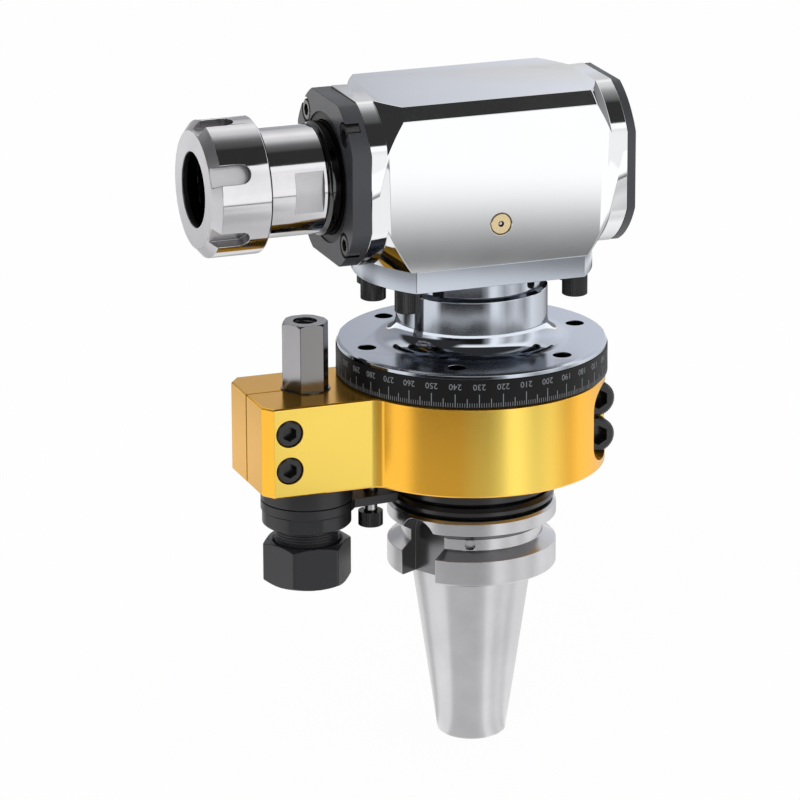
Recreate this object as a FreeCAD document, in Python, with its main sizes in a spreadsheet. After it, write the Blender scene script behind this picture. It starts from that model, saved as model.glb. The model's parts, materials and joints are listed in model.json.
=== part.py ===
import FreeCAD, Part
import math
import os
import Sketcher
from FreeCAD import Rotation, Vector

# Angle head that turns a milling spindle's drive through 90 degrees.
# Z is the spindle axis and Z = 0 is the gauge plane of the taper, which points down.
# The output axis lies along X, with the collet nut at -X. Millimetres.

SIZES = {
    # fits and small gaps
    "fit_gap": 0.02,
    "run_gap": 0.05,
    "thread_gap": 0.06,
    "side_gap": 0.3,
    # thread radii of the screws
    "m4_r": 2.0,
    "m5_r": 2.5,
    "m6_r": 3.0,
    "m8_r": 4.0,
    # shank, a 40 taper with its V flange
    "taper_gauge_r": 22.225,
    "taper_length": 65.4,
    "taper_half_ratio": 0.145833,
    "taper_tip_chamfer": 1.0,
    "pull_thread_r": 7.0,
    "pull_thread_depth": 30.0,
    "flange_r": 31.5,
    "flange_low": 2.0,
    "flange_top": 27.0,
    "groove_low": 11.6,
    "groove_high": 21.6,
    "groove_root_r": 26.5,
    "groove_slope": 2.9,
    "keyway_width": 16.1,
    "keyway_floor_r": 22.6,
    "keyway_angle": 29.0,
    "dimple_r": 1.9,
    "dimple_depth": 2.0,
    "dimple_angle": -112.0,
    "shank_hub_r": 26.0,
    "shank_hub_drop": 2.3,
    "journal_r": 17.5,
    "lock_nut_height": 3.0,
    "upper_journal_r": 12.5,
    "gear_seat_r": 9.0,
    "collar_r": 30.7,
    "collar_gap": 0.4,
    "collar_height": 4.2,
    "collar_round": 1.4,
    "lower_seal_wall": 3.0,
    "lower_cover_gap": 0.8,
    # output axis and bevel gears
    "axis_height": 155.2,
    "gear_teeth": 24.0,
    "gear_module": 1.6,
    "gear_face": 10.0,
    "gear_backlash": 0.18,
    "gear_hub_length": 4.2,
    "gear_hub_r": 15.0,
    "pressure_angle": 20.0,
    # housing
    "block_half_width": 30.0,
    "block_half_height": 30.5,
    "block_front": 49.6,
    "block_rear": 49.2,
    "block_chamfer_side": 3.2,
    "block_chamfer_drop": 5.0,
    "turned_r": 33.2,
    "turned_length": 6.3,
    "turned_slope_length": 14.0,
    "cavity_r": 22.6,
    "cavity_rear": 22.0,
    # end plates
    "plate_half_width": 30.0,
    "plate_half_height": 30.0,
    "front_plate_thick": 7.2,
    "rear_cover_thick": 3.2,
    "plate_screw_offset": 20.4,
    "plate_hole_depth": 16.0,
    "plate_pocket_r": 4.7,
    "plate_pocket_floor": 2.0,
    "front_screw_length": 13.0,
    "rear_screw_length": 12.0,
    # base disc, neck and flange
    "base_r": 44.3,
    "base_thick": 8.1,
    "base_screw_circle_r": 38.5,
    "base_screw_angle": 32.0,
    "base_screw_bite": 4.8,
    "neck_r": 28.0,
    "neck_rim_drop": 5.6,
    "neck_relief_r": 26.0,
    "neck_chamfer": 1.2,
    "neck_fillet": 8.0,
    "neck_fillet_most": 0.6,
    "spigot_height": 4.0,
    "head_flange_step": 0.25,
    "head_flange_rim": 2.2,
    "head_flange_chamfer": 0.8,
    "flange_hole_r": 3.4,
    "flange_hole_inset": 8.75,
    "flange_hole_depth": 10.0,
    "flange_hole_turn": 1.7,
    "degree_ring_r": 50.25,
    "degree_ring_wall": 4.25,
    "degree_ring_height": 10.7,
    "ring_joint_gap": 0.4,
    "sleeve_r": 36.0,
    # clamp ring and arm
    "ring_step": 0.75,
    "ring_low": 42.3,
    "ring_height": 34.0,
    "ring_chamfer": 0.6,
    "ring_slit": 1.6,
    "arm_reach": 88.0,
    "arm_half_width": 22.0,
    "arm_corner_x": 3.4,
    "arm_corner_y": 4.8,
    "arm_fillet": 5.0,
    "arm_slit": 1.0,
    "arm_screw_x": 78.7,
    "clamp_screw_inset": 7.5,
    "clamp_screw_low": 52.5,
    "clamp_screw_step": 14.0,
    "clamp_pocket_r": 7.4,
    "clamp_seat_y": 13.6,
    "arm_pocket_r": 5.1,
    "arm_pocket_depth": 6.0,
    "arm_screw_end": 8.0,
    # locating pin and release stack
    "pin_offset": 65.0,
    "pin_r": 9.0,
    "pin_hex_half": 7.75,
    "pin_rise": 25.7,
    "pin_seat_lift": 6.7,
    "pin_core_r": 6.0,
    "pin_bore_r": 4.4,
    "pin_tip": 5.0,
    "release_travel": 6.0,
    "stack_r": 17.0,
    "stack_gap": 0.4,
    "lock_arm_drop": 8.3,
    "lock_arm_thick": 3.4,
    "ring_nut_height": 6.0,
    "ring_nut_flat": 15.4,
    "stack_neck_r": 11.75,
    "stack_neck_low": 8.6,
    "spring_chamber_r": 10.2,
    "spring_floor": 12.0,
    "spring_wire_r": 1.0,
    "spring_turns": 5.0,
    "cap_nut_r": 16.6,
    "cap_nut_half_flat": 14.6,
    "cap_nut_low": 2.6,
    "cap_nut_top": 18.4,
    "lock_arm_half_width": 8.0,
    "lock_arm_tip_half_width": 6.2,
    "guide_screw_x": 40.0,
    "guide_screw_low": 20.7,
    "guide_screw_r": 2.5,
    # ball bearings: bore, outside and width
    "front_bearing_bore_r": 15.0,
    "front_bearing_r": 23.5,
    "front_bearing_width": 9.0,
    "front_bearing_space": 5.0,
    "rear_bearing_bore_r": 10.0,
    "rear_bearing_r": 21.0,
    "rear_bearing_width": 12.0,
    "rear_bearing_at": 34.0,
    "input_bearing_r": 31.0,
    "input_bearing_width": 14.0,
    "input_bearing_space": 2.0,
    "input_bearing_lift": 2.7,
    "neck_bearing_r": 21.0,
    "neck_bearing_width": 9.0,
    "neck_bearing_drop": 10.6,
    # output spindle and nut
    "spindle_r": 20.0,
    "spindle_nose": 99.9,
    "spindle_neck": 62.0,
    "spindle_ring_r": 20.8,
    "spindle_flat_half": 18.4,
    "spindle_flat_from": 63.8,
    "spindle_flat_to": 74.6,
    "socket_mouth_r": 16.5,
    "socket_depth": 42.0,
    "socket_taper": 0.1405,
    "through_bore_r": 6.0,
    "nut_r": 25.0,
    "nut_reach": 7.0,
    "nut_length": 22.2,
    "nut_bore_r": 13.8,
    "nut_chamfer": 3.2,
    "nut_chamfer_drop": 3.6,
    "nut_lip": 2.4,
    "pressure_ring_wall": 4.1,
    "pressure_ring_height": 4.0,
    "nut_slots": 6.0,
    "nut_slot_half": 3.6,
    "nut_slot_depth": 3.4,
    "nut_slot_length": 14.4,
    "nut_slot_turn": 5.5,
    # grease nipple with a ball
    "oiler_r": 4.1,
    "oiler_drop": 15.4,
    "oiler_length": 8.0,
    "oiler_ball_r": 1.4,
}


def make_sheet(doc):
    sheet = doc.addObject("Spreadsheet::Sheet", "dims")
    for row, (name, size) in enumerate(SIZES.items(), start=1):
        sheet.set(f"A{row}", name)
        sheet.set(f"B{row}", str(size))
        sheet.setAlias(f"B{row}", name)
    doc.recompute()
    return sheet


DOC = FreeCAD.newDocument("angle_head")
SHEET = make_sheet(DOC)
PARTS = []


def expand(text):
    """Put the sheet's name before each size in an expression."""
    words = []
    word = ""
    for char in text + " ":
        if char.isalnum() or char == "_":
            word += char
            continue
        words.append("dims." + word if word in SIZES else word)
        words.append(char)
        word = ""
    return "".join(words).strip()


def value(text):
    """Work out an expression of sizes as a plain number."""
    result = SHEET.evalExpression(expand(text))
    return float(getattr(result, "Value", result))


def keep(item, label):
    """Remember a finished sub-part under the name of its file."""
    item.Label = label
    PARTS.append(item)
    return item


def new_body(name, x="0", z="0"):
    body = DOC.addObject("PartDesign::Body", name)
    body.setExpression("Placement.Base.x", expand(x))
    body.setExpression("Placement.Base.z", expand(z))
    return body


def turn_body(body, rotation):
    """Turn a body about its own origin, which its expressions keep in place."""
    DOC.recompute()
    body.Placement = FreeCAD.Placement(body.Placement.Base, rotation)


def new_sketch(body, plane, offset="0"):
    """Start a sketch on one of the body's own planes, moved along its normal."""
    sketch = body.newObject("Sketcher::SketchObject", body.Name + "_sketch")
    support = [f for f in body.Origin.OriginFeatures if f.Role == plane][0]
    sketch.AttachmentSupport = [(support, "")]
    sketch.MapMode = "FlatFace"
    sketch.setExpression("AttachmentOffset.Base.z", expand(offset))
    return sketch


def pin_point(sketch, item, end, point):
    """Hold a point of the sketch at two expressions."""
    for kind, text in zip(("DistanceX", "DistanceY"), point):
        number = value(text)
        index = sketch.addConstraint(Sketcher.Constraint(kind, -1, 1, item, end, number))
        sketch.setExpression(f"Constraints[{index}]", expand(text))


def add_outline(sketch, points):
    """Draw a closed outline of straight lines through points held by sizes."""
    spots = [Vector(value(x), value(y), 0) for x, y in points]
    first = sketch.GeometryCount
    count = len(points)
    for i in range(count):
        sketch.addGeometry(Part.LineSegment(spots[i], spots[(i + 1) % count]), False)
    for i in range(count):
        after = first + (i + 1) % count
        sketch.addConstraint(Sketcher.Constraint("Coincident", first + i, 2, after, 1))
        pin_point(sketch, first + i, 1, points[i])


def add_rounded(sketch, corners, arcs):
    """Draw a closed outline in which some sides are half-round ends.

    For such a side, arcs gives the top of its bulge, and how and where its centre is held.
    """
    spots = [Vector(value(x), value(y), 0) for x, y in corners]
    count = len(spots)
    for i in range(count):
        start, end = spots[i], spots[(i + 1) % count]
        if i in arcs:
            bulge = Vector(value(arcs[i][0]), value(arcs[i][1]), 0)
            sketch.addGeometry(Part.Arc(start, bulge, end), False)
        else:
            sketch.addGeometry(Part.LineSegment(start, end), False)
    for i in range(count):
        sketch.addConstraint(Sketcher.Constraint("Coincident", i, 2, (i + 1) % count, 1))
        pin_point(sketch, i, 1, corners[i])
    for i, (_, _, kind, text) in arcs.items():
        index = sketch.addConstraint(Sketcher.Constraint(kind, -1, 1, i, 3, value(text)))
        sketch.setExpression(f"Constraints[{index}]", expand(text))


def add_circle(sketch, x, y, radius):
    centre = Vector(value(x), value(y), 0)
    item = sketch.addGeometry(Part.Circle(centre, Vector(0, 0, 1), value(radius)), False)
    index = sketch.addConstraint(Sketcher.Constraint("Radius", item, value(radius)))
    sketch.setExpression(f"Constraints[{index}]", expand(radius))
    pin_point(sketch, item, 3, (x, y))


def add_feature(body, kind, sketch, **settings):
    feature = body.newObject("PartDesign::" + kind, f"{body.Name}_{kind.lower()}")
    feature.Profile = sketch
    for name, setting in settings.items():
        if isinstance(setting, str) and name not in ("Type",):
            feature.setExpression(name, expand(setting))
        else:
            setattr(feature, name, setting)
    sketch.Visibility = False
    return feature


def checked(body, action):
    """Run an action that cuts the body and make sure that it removed something."""
    DOC.recompute()
    before = body.Shape.Volume
    feature = action()
    DOC.recompute()
    if not body.Shape.Volume < before - 1e-3:
        raise RuntimeError(f"{body.Name}: {feature.Name} cut nothing")
    return feature


def spin(body, points, axis, cut=False):
    """Turn an outline round the sketch's own vertical or horizontal axis."""
    sketch = new_sketch(body, "XZ_Plane")
    add_outline(sketch, points)
    kind = "Groove" if cut else "Revolution"
    feature = add_feature(body, kind, sketch)
    feature.ReferenceAxis = (sketch, [axis])
    feature.Angle = 360
    return feature


def turned_z(name, points, x="0", z="0"):
    """A body turned about the vertical line through x."""
    body = new_body(name, x, z)
    spin(body, points, "V_Axis")
    return body


def turned_x(name, points):
    """A body turned about the output axis."""
    body = new_body(name, "0", "axis_height")
    spin(body, points, "H_Axis")
    return body


def cut_spin(body, points, axis):
    return checked(body, lambda: spin(body, points, axis, cut=True))


def cut_circles(body, plane, offset, circles, length, reverse=False):
    """Sink round holes from a plane: along its normal when reverse is set."""
    def action():
        sketch = new_sketch(body, plane, offset)
        for circle in circles:
            add_circle(sketch, *circle)
        return add_feature(body, "Pocket", sketch, Length=length, Reversed=reverse)
    return checked(body, action)


def cut_outline(body, plane, offset, points, length, reverse=False):
    def action():
        sketch = new_sketch(body, plane, offset)
        add_outline(sketch, points)
        return add_feature(body, "Pocket", sketch, Length=length, Reversed=reverse)
    return checked(body, action)


def pad_outline(body, plane, offset, points, length, reverse=False):
    sketch = new_sketch(body, plane, offset)
    add_outline(sketch, points)
    return add_feature(body, "Pad", sketch, Length=length, Reversed=reverse)


def pattern(body, feature, count, axis):
    """Repeat a feature evenly round one of the body's own axes."""
    ring = body.newObject("PartDesign::PolarPattern", body.Name + "_pattern")
    ring.Originals = [feature]
    line = [f for f in body.Origin.OriginFeatures if f.Role == axis][0]
    ring.Axis = (line, [""])
    ring.Angle = 360
    ring.setExpression("Occurrences", expand(count))
    body.Tip = ring
    return ring


def dress(body, kind, wanted, **settings):
    """Chamfer or fillet the edges that a test picks out."""
    DOC.recompute()
    base = body.Tip
    names = [f"Edge{i + 1}" for i, edge in enumerate(base.Shape.Edges) if wanted(edge)]
    if not names:
        raise RuntimeError(f"{body.Name}: no edge to dress")
    feature = body.newObject("PartDesign::" + kind, f"{body.Name}_{kind.lower()}")
    feature.Base = (base, names)
    for name, text in settings.items():
        feature.setExpression(name, expand(text))
    body.Tip = feature
    return feature


def is_ring(edge, radius, height=None, along=2):
    """True for a circular edge of this radius, at this place along an axis."""
    curve = edge.Curve
    if not isinstance(curve, Part.Circle) or abs(curve.Radius - value(radius)) > 1e-3:
        return False
    return height is None or abs(curve.Center[along] - value(height)) < 1e-3


def ring_section(low, high, inner, outer):
    """The outline of a plain ring, with places along the axis and radii."""
    return [(inner, low), (outer, low), (outer, high), (inner, high)]


def along_x(points):
    """Swap an outline of radius and place, to turn it about a horizontal axis."""
    return [(place, radius) for radius, place in points]


# Screws

def cap_screw(name, thread_r, length, place, turn, scale="1"):
    """One hexagon socket cap screw. Its seat is at the placement, its head points along turn."""
    shank = DOC.addObject("Part::Cylinder", name + "_shank")
    shank.setExpression("Radius", expand(thread_r))
    shank.setExpression("Height", expand(length))
    shank.setExpression("Placement.Base.z", expand(f"-({length})"))
    head = DOC.addObject("Part::Cylinder", name + "_head")
    head.setExpression("Radius", expand(f"({thread_r}) * 1.62"))
    head.setExpression("Height", expand(f"({thread_r}) * 2 * {scale}"))
    joined = DOC.addObject("Part::Fuse", name + "_solid")
    joined.Base = shank
    joined.Tool = head
    return cut_socket(name, joined, f"({thread_r}) * 0.96",
                      f"({thread_r}) * (2 * {scale} - 1.05)", place, turn)


def cut_socket(name, solid, corner_r, floor, place, turn):
    """Sink the hexagon socket and put the screw in its place."""
    socket = DOC.addObject("Part::Prism", name + "_socket")
    socket.Polygon = 6
    socket.setExpression("Circumradius", expand(corner_r))
    socket.setExpression("Height", expand(f"1.2 * ({corner_r})"))
    socket.setExpression("Placement.Base.z", expand(floor))
    screw = DOC.addObject("Part::Cut", name)
    screw.Base = solid
    screw.Tool = socket
    screw.Placement = FreeCAD.Placement(Vector(), Rotation(Vector(0, 0, 1), Vector(*turn)))
    for axis, text in zip("xyz", place):
        screw.setExpression("Placement.Base." + axis, expand(text))
    return screw


def flat_screw(name, thread_r, length, place, turn):
    """One countersunk socket screw. Its flat top is at the placement."""
    shank = DOC.addObject("Part::Cylinder", name + "_shank")
    shank.setExpression("Radius", expand(thread_r))
    shank.setExpression("Height", expand(length))
    shank.setExpression("Placement.Base.z", expand(f"-({length})"))
    head = DOC.addObject("Part::Cone", name + "_head")
    head.setExpression("Radius1", expand(thread_r))
    head.setExpression("Radius2", expand(f"2 * {thread_r}"))
    head.setExpression("Height", expand(thread_r))
    head.setExpression("Placement.Base.z", expand(f"-({thread_r})"))
    joined = DOC.addObject("Part::Fuse", name + "_solid")
    joined.Base = shank
    joined.Tool = head
    return cut_socket(name, joined, f"({thread_r}) * 0.72", f"-({thread_r}) * 0.9", place, turn)


def screw_group(label, screws):
    """Identical screws, kept together as separate solids in one sub-part."""
    group = DOC.addObject("Part::Compound", label)
    group.Links = screws
    return keep(group, label)


def cap_screws(label, places, thread_r, length, turn, scale="1"):
    return screw_group(label, [cap_screw(f"{label}_{i}", thread_r, length, place, turn, scale)
                               for i, place in enumerate(places)])


SIGNS = [(i, j) for i in ("", "-") for j in ("", "-")]

M4 = "m4_r"
M5 = "m5_r"
M6 = "m6_r"
M8 = "m8_r"


def screw_hole(thread_r):
    return f"{thread_r} + thread_gap"


# Places measured from the point where the two axes meet

PITCH_R = "(gear_teeth * gear_module / 2)"
GEAR_BACK = f"({PITCH_R} + gear_hub_length)"
CONE = "sin(45)"
GEAR_TOE = f"({PITCH_R} - gear_face * {CONE})"
BASE_TOP = "(axis_height - block_half_height)"
BASE_LOW = f"({BASE_TOP} - base_thick)"
NECK_RIM = f"({BASE_LOW} - neck_rim_drop)"
NECK_BEARING_LOW = f"({BASE_LOW} - neck_bearing_drop)"
RING_R = "(degree_ring_r - ring_step)"
RING_TOP = "(ring_low + ring_height)"
DEGREE_BORE_R = "(degree_ring_r - degree_ring_wall)"
DEGREE_LOW = f"({RING_TOP} + ring_joint_gap)"
HEAD_RIM_LOW = f"({DEGREE_LOW} + degree_ring_height)"
HEAD_TOP = f"({HEAD_RIM_LOW} + head_flange_rim)"
HEAD_FLANGE_R = "(degree_ring_r - head_flange_step)"
HOLE_CIRCLE_R = "(degree_ring_r - flange_hole_inset)"
INPUT_LOW = "(ring_low + input_bearing_lift)"
INPUT_TOP = f"({INPUT_LOW} + 2 * input_bearing_width + input_bearing_space)"
JOURNAL_TOP = f"({INPUT_TOP} + lock_nut_height)"
SHANK_HUB_TOP = "(ring_low - shank_hub_drop)"
COLLAR_LOW = "(flange_top + collar_gap)"
COLLAR_TOP = f"({COLLAR_LOW} + collar_height)"
SLEEVE_LOW = "(ring_low - side_gap)"
COVER_LOW = f"({COLLAR_TOP} + lower_cover_gap)"
COVER_TOP = f"({SHANK_HUB_TOP} + lower_cover_gap)"
COVER_BORE_R = "(shank_hub_r + run_gap + lower_seal_wall)"
CLAMP_X = f"({RING_R} - clamp_screw_inset)"
ARM_TOP = "(ring_low - lock_arm_drop)"
ARM_LOW = f"({ARM_TOP} - lock_arm_thick)"
STACK_TOP = "(ring_low - stack_gap)"
PIN_SHOULDER = "(ring_low + pin_seat_lift)"
PIN_TOP = f"({RING_TOP} + pin_rise)"

# Input shank and what turns with it

def taper_r(height):
    return f"taper_gauge_r + ({height}) * taper_half_ratio"


def shank():
    body = turned_z("shank", [
        ("0", "-taper_length"),
        (taper_r("-taper_length") + " - taper_tip_chamfer", "-taper_length"),
        (taper_r("-taper_length + taper_tip_chamfer"), "-taper_length + taper_tip_chamfer"),
        (taper_r("0"), "0"),
        (taper_r("0"), "flange_low"),
        ("flange_r - 0.6", "flange_low"),
        ("flange_r", "flange_low + 0.6"),
        ("flange_r", "groove_low"),
        ("groove_root_r", "groove_low + groove_slope"),
        ("groove_root_r", "groove_high - groove_slope"),
        ("flange_r", "groove_high"),
        ("flange_r", "flange_top - 1"),
        ("flange_r - 1", "flange_top"),
        ("shank_hub_r", "flange_top"),
        ("shank_hub_r", SHANK_HUB_TOP),
        ("journal_r + 3", SHANK_HUB_TOP),
        ("journal_r + 3", INPUT_LOW),
        ("journal_r", INPUT_LOW),
        ("journal_r", JOURNAL_TOP),
        ("upper_journal_r + 2", JOURNAL_TOP),
        ("upper_journal_r + 2", NECK_BEARING_LOW),
        ("upper_journal_r", NECK_BEARING_LOW),
        ("upper_journal_r", f"axis_height - {GEAR_BACK}"),
        ("gear_seat_r", f"axis_height - {GEAR_BACK}"),
        ("gear_seat_r", f"axis_height - {GEAR_TOE} + 0.3"),
        ("0", f"axis_height - {GEAR_TOE} + 0.3"),
    ])
    cut_circles(body, "XY_Plane", "-taper_length", [("0", "0", "pull_thread_r")],
                "pull_thread_depth", reverse=True)
    return keep(body, "input_shank")


def cut_keyways(body):
    """Two drive keyways with round upper ends, opposite each other."""
    half = "keyway_width / 2"
    low, high = "-0.5", f"flange_top - 1 - {half}"
    def one():
        sketch = new_sketch(body, "YZ_Plane", "keyway_floor_r")
        corners = [(f"-{half}", low), (half, low), (half, high), (f"-{half}", high)]
        add_rounded(sketch, corners, {2: ("0", f"{high} + {half}", "DistanceY", high)})
        return add_feature(body, "Pocket", sketch, Length="flange_r", Reversed=True)
    pattern(body, checked(body, one), "2", "Z_Axis")


def cut_dimple(body):
    """The small blind hole in the groove, at its own angle round the shank."""
    turn = "(dimple_angle - keyway_angle + 90)"
    depth = "(groove_root_r - dimple_depth)"
    def action():
        sketch = new_sketch(body, "XZ_Plane", f"{depth} * cos({turn})")
        rotation = Rotation(Vector(0, 1, 0), value(turn))
        sketch.AttachmentOffset = FreeCAD.Placement(Vector(), rotation)
        sketch.setExpression("AttachmentOffset.Base.x", expand(f"{depth} * sin({turn})"))
        add_circle(sketch, "0", "(groove_low + groove_high) / 2", "dimple_r")
        return add_feature(body, "Pocket", sketch, Length="flange_r", Reversed=True)
    checked(body, action)


def bearing_rings(prefix, label_in, label_out, label_balls, lows, width, inner, outer, flat):
    """Inner rings, outer rings and ball rows of the bearings on one shaft."""
    for label, part in ((label_in, 0), (label_out, 1), (label_balls, 2)):
        members = []
        for i, low in enumerate(lows):
            mid = f"(({inner} + {outer}) / 2)"
            ball = f"(({outer} - {inner}) * 0.3)"
            race = f"({ball} * 0.62)"
            high = f"({low} + {width})"
            centre = f"({low} + {width} / 2)"
            if part == 0:
                points = ring_section(low, high, f"{inner} + fit_gap / 2", f"{mid} - {race}")
            elif part == 1:
                points = ring_section(low, high, f"{mid} + {race}", f"{outer} - fit_gap")
            else:
                points = ring_section(f"{centre} - {ball}", f"{centre} + {ball}",
                                      f"{mid} - {race} + run_gap", f"{mid} + {race} - run_gap")
            name = f"{prefix}_{i}_{part}"
            members.append(turned_x(name, along_x(points)) if flat else turned_z(name, points))
        group = DOC.addObject("Part::Compound", label)
        group.Links = members
        keep(group, label)


def bevel_gear(label, flat, turn):
    """A straight bevel gear. Its teeth are cut to the point where the axes meet."""
    body = new_body(label, "0", "axis_height")
    heel = PITCH_R
    toe = GEAR_TOE
    bore = "rear_bearing_bore_r" if flat else "gear_seat_r"
    half_mod = f"gear_module * {CONE}"
    points = [
        (f"{bore} + fit_gap / 2", f"-{GEAR_BACK}"),
        ("gear_hub_r", f"-{GEAR_BACK}"),
        ("gear_hub_r", f"-{heel} - 3"),
        (f"{heel} - 2.6", f"-{heel} - 3"),
        (f"{heel} + {half_mod}", f"-{heel} + {half_mod}"),
        (f"({heel} + {half_mod}) * {toe} / {heel}", f"(-{heel} + {half_mod}) * {toe} / {heel}"),
        (f"{bore} + fit_gap / 2", f"(-{heel} + {half_mod}) * {toe} / {heel}"),
    ]
    spin(body, points, "V_Axis")
    gap = cut_tooth_gap(body, flat)
    pattern(body, gap, "gear_teeth", "Z_Axis")
    turn_body(body, turn)
    return keep(body, label)


def cut_tooth_gap(body, shift):
    """One gap between teeth, narrowing towards the point where the axes meet."""
    pitch = "(gear_module * pi / 4 + gear_backlash)"
    slope = "tan(pressure_angle)"
    levels = []
    for depth in ("-1.25", "0", "1.8"):
        rise = f"({depth} * gear_module * {CONE})"
        reach = f"({PITCH_R} + {rise}) / ({PITCH_R} - {rise})"
        width = f"({pitch} + {depth} * gear_module * {slope}) / ({PITCH_R} - {rise})"
        levels.append((reach, width))
    def action():
        sections = []
        for at in (f"({GEAR_TOE} * 0.85)", f"({PITCH_R} * 1.25)"):
            sketch = new_sketch(body, "XY_Plane", f"-{at}")
            right = [(f"{reach} * {at}", f"{width} * {at}") for reach, width in levels]
            left = [(x, f"-({y})") for x, y in reversed(right)]
            add_outline(sketch, right + left)
            sections.append(sketch)
        loft = body.newObject("PartDesign::SubtractiveLoft", body.Name + "_gap")
        loft.Profile = sections[0]
        loft.Sections = [sections[1]]
        loft.Ruled = True
        return loft
    return checked(body, action)


def input_parts():
    body = shank()
    cut_keyways(body)
    cut_dimple(body)
    turn_body(body, Rotation(Vector(0, 0, 1), value("keyway_angle")))
    collar = turned_z("drive_collar", [
        ("shank_hub_r + fit_gap / 2", COLLAR_LOW),
        ("collar_r - collar_round", COLLAR_LOW),
        ("collar_r", f"{COLLAR_LOW} + collar_round"),
        ("collar_r", f"{COLLAR_TOP} - collar_round"),
        ("collar_r - collar_round", COLLAR_TOP),
        ("shank_hub_r + fit_gap / 2", COLLAR_TOP),
    ])
    keep(collar, "drive_collar")
    low = INPUT_LOW
    step = "input_bearing_width + input_bearing_space"
    bearing_rings("input_bearing", "input_bearing_inner_rings", "input_bearing_outer_rings",
                  "input_bearing_ball_rows", [low, f"({low} + {step})"],
                  "input_bearing_width", "journal_r", "input_bearing_r", False)
    between = f"({low} + input_bearing_width)"
    for label, inner, outer in (
        ("input_inner_spacer", "journal_r + fit_gap / 2", "journal_r + 3.5"),
        ("input_outer_spacer", "input_bearing_r - 3.5", "input_bearing_r - fit_gap"),
    ):
        keep(turned_z(label, ring_section(between, f"{between} + input_bearing_space", inner, outer)),
             label)
    nut = turned_z("input_lock_nut", ring_section(INPUT_TOP, JOURNAL_TOP,
                                                  "journal_r + fit_gap / 2", "journal_r + 6"))
    keep(nut, "input_lock_nut")
    bearing_rings("neck_bearing", "neck_bearing_inner_ring", "neck_bearing_outer_ring",
                  "neck_bearing_ball_row", [NECK_BEARING_LOW],
                  "neck_bearing_width", "upper_journal_r", "neck_bearing_r", False)
    bevel_gear("input_bevel_gear", False, Rotation())


# Output spindle, its bearings, gear and nut

FRONT_LOW = "(-block_front)"
FRONT_STEP = "(front_bearing_width + front_bearing_space)"
FRONT_END = f"({FRONT_LOW} + {FRONT_STEP} + front_bearing_width)"
REAR_LOW = "rear_bearing_at"
NUT_FACE = "(-spindle_nose - nut_reach)"
NUT_BACK = f"({NUT_FACE} + nut_length)"
NUT_INSIDE = f"({NUT_FACE} + nut_lip)"
RING_LIP = f"({NUT_INSIDE} + pressure_ring_height + 2 * side_gap)"


def output_spindle():
    mouth = "socket_mouth_r"
    deep = "(socket_mouth_r - socket_depth * socket_taper)"
    body = turned_x("output_spindle", [
        ("-spindle_nose", mouth),
        ("-spindle_nose", "spindle_r - 1"),
        ("-spindle_nose + 1", "spindle_r"),
        ("-spindle_neck - 0.6", "spindle_r"),
        ("-spindle_neck", "spindle_r - 0.6"),
        ("-spindle_neck + 0.6", "spindle_ring_r - 0.8"),
        ("-spindle_neck + 1.2", "spindle_ring_r"),
        ("-block_front - front_plate_thick + 1.5", "spindle_ring_r"),
        ("-block_front - front_plate_thick + 1.5", "spindle_r - 1.6"),
        (FRONT_LOW + " - 1", "spindle_r - 1.6"),
        (FRONT_LOW + " - 1", "front_bearing_bore_r + 2"),
        (FRONT_LOW, "front_bearing_bore_r + 2"),
        (FRONT_LOW, "front_bearing_bore_r"),
        (f"{FRONT_END} + lock_nut_height", "front_bearing_bore_r"),
        (f"{FRONT_END} + lock_nut_height", "rear_bearing_bore_r"),
        ("rear_bearing_at + rear_bearing_width + 2.4", "rear_bearing_bore_r"),
        ("rear_bearing_at + rear_bearing_width + 2.4", "through_bore_r"),
        ("-spindle_nose + socket_depth", "through_bore_r"),
        ("-spindle_nose + socket_depth", deep),
    ])
    def action():
        sketch = new_sketch(body, "XY_Plane", "0")
        for side in ("-", ""):
            near = f"{side}spindle_flat_half"
            far = f"{side}2 * spindle_r"
            add_outline(sketch, [
                ("-spindle_flat_to", near), ("-spindle_flat_from", near),
                ("-spindle_flat_from", far), ("-spindle_flat_to", far)])
        return add_feature(body, "Pocket", sketch, Length="3 * spindle_r", Midplane=True)
    checked(body, action)
    return keep(body, "output_spindle")


def output_parts():
    output_spindle()
    bearing_rings("front_bearing", "front_bearing_inner_rings", "front_bearing_outer_rings",
                  "front_bearing_ball_rows", [FRONT_LOW, f"({FRONT_LOW} + {FRONT_STEP})"],
                  "front_bearing_width", "front_bearing_bore_r", "front_bearing_r", True)
    between = f"({FRONT_LOW} + front_bearing_width)"
    for label, inner, outer in (
        ("front_inner_spacer", "front_bearing_bore_r + fit_gap / 2", "front_bearing_bore_r + 3"),
        ("front_outer_spacer", "front_bearing_r - 3", "front_bearing_r - fit_gap"),
    ):
        points = ring_section(between, f"{between} + front_bearing_space", inner, outer)
        keep(turned_x(label, along_x(points)), label)
    nut = turned_x("front_lock_nut", along_x(ring_section(
        FRONT_END, f"{FRONT_END} + lock_nut_height", "front_bearing_bore_r + fit_gap / 2",
        "front_bearing_bore_r + 4")))
    keep(nut, "front_lock_nut")
    bearing_rings("rear_bearing", "rear_bearing_inner_ring", "rear_bearing_outer_ring",
                  "rear_bearing_ball_row", [REAR_LOW], "rear_bearing_width",
                  "rear_bearing_bore_r", "rear_bearing_r", True)
    end_nut = turned_x("rear_lock_nut", along_x(ring_section(
        "rear_bearing_at + rear_bearing_width",
        "rear_bearing_at + rear_bearing_width + 2",
        "rear_bearing_bore_r + fit_gap / 2", "rear_bearing_bore_r + 4")))
    keep(end_nut, "rear_lock_nut")
    half_tooth = Rotation(Vector(0, 0, 1), 180 / value("gear_teeth"))
    to_side = Rotation(Vector(0, 1, 0), 90)
    bevel_gear("output_bevel_gear", True, to_side.multiply(half_tooth))


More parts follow.
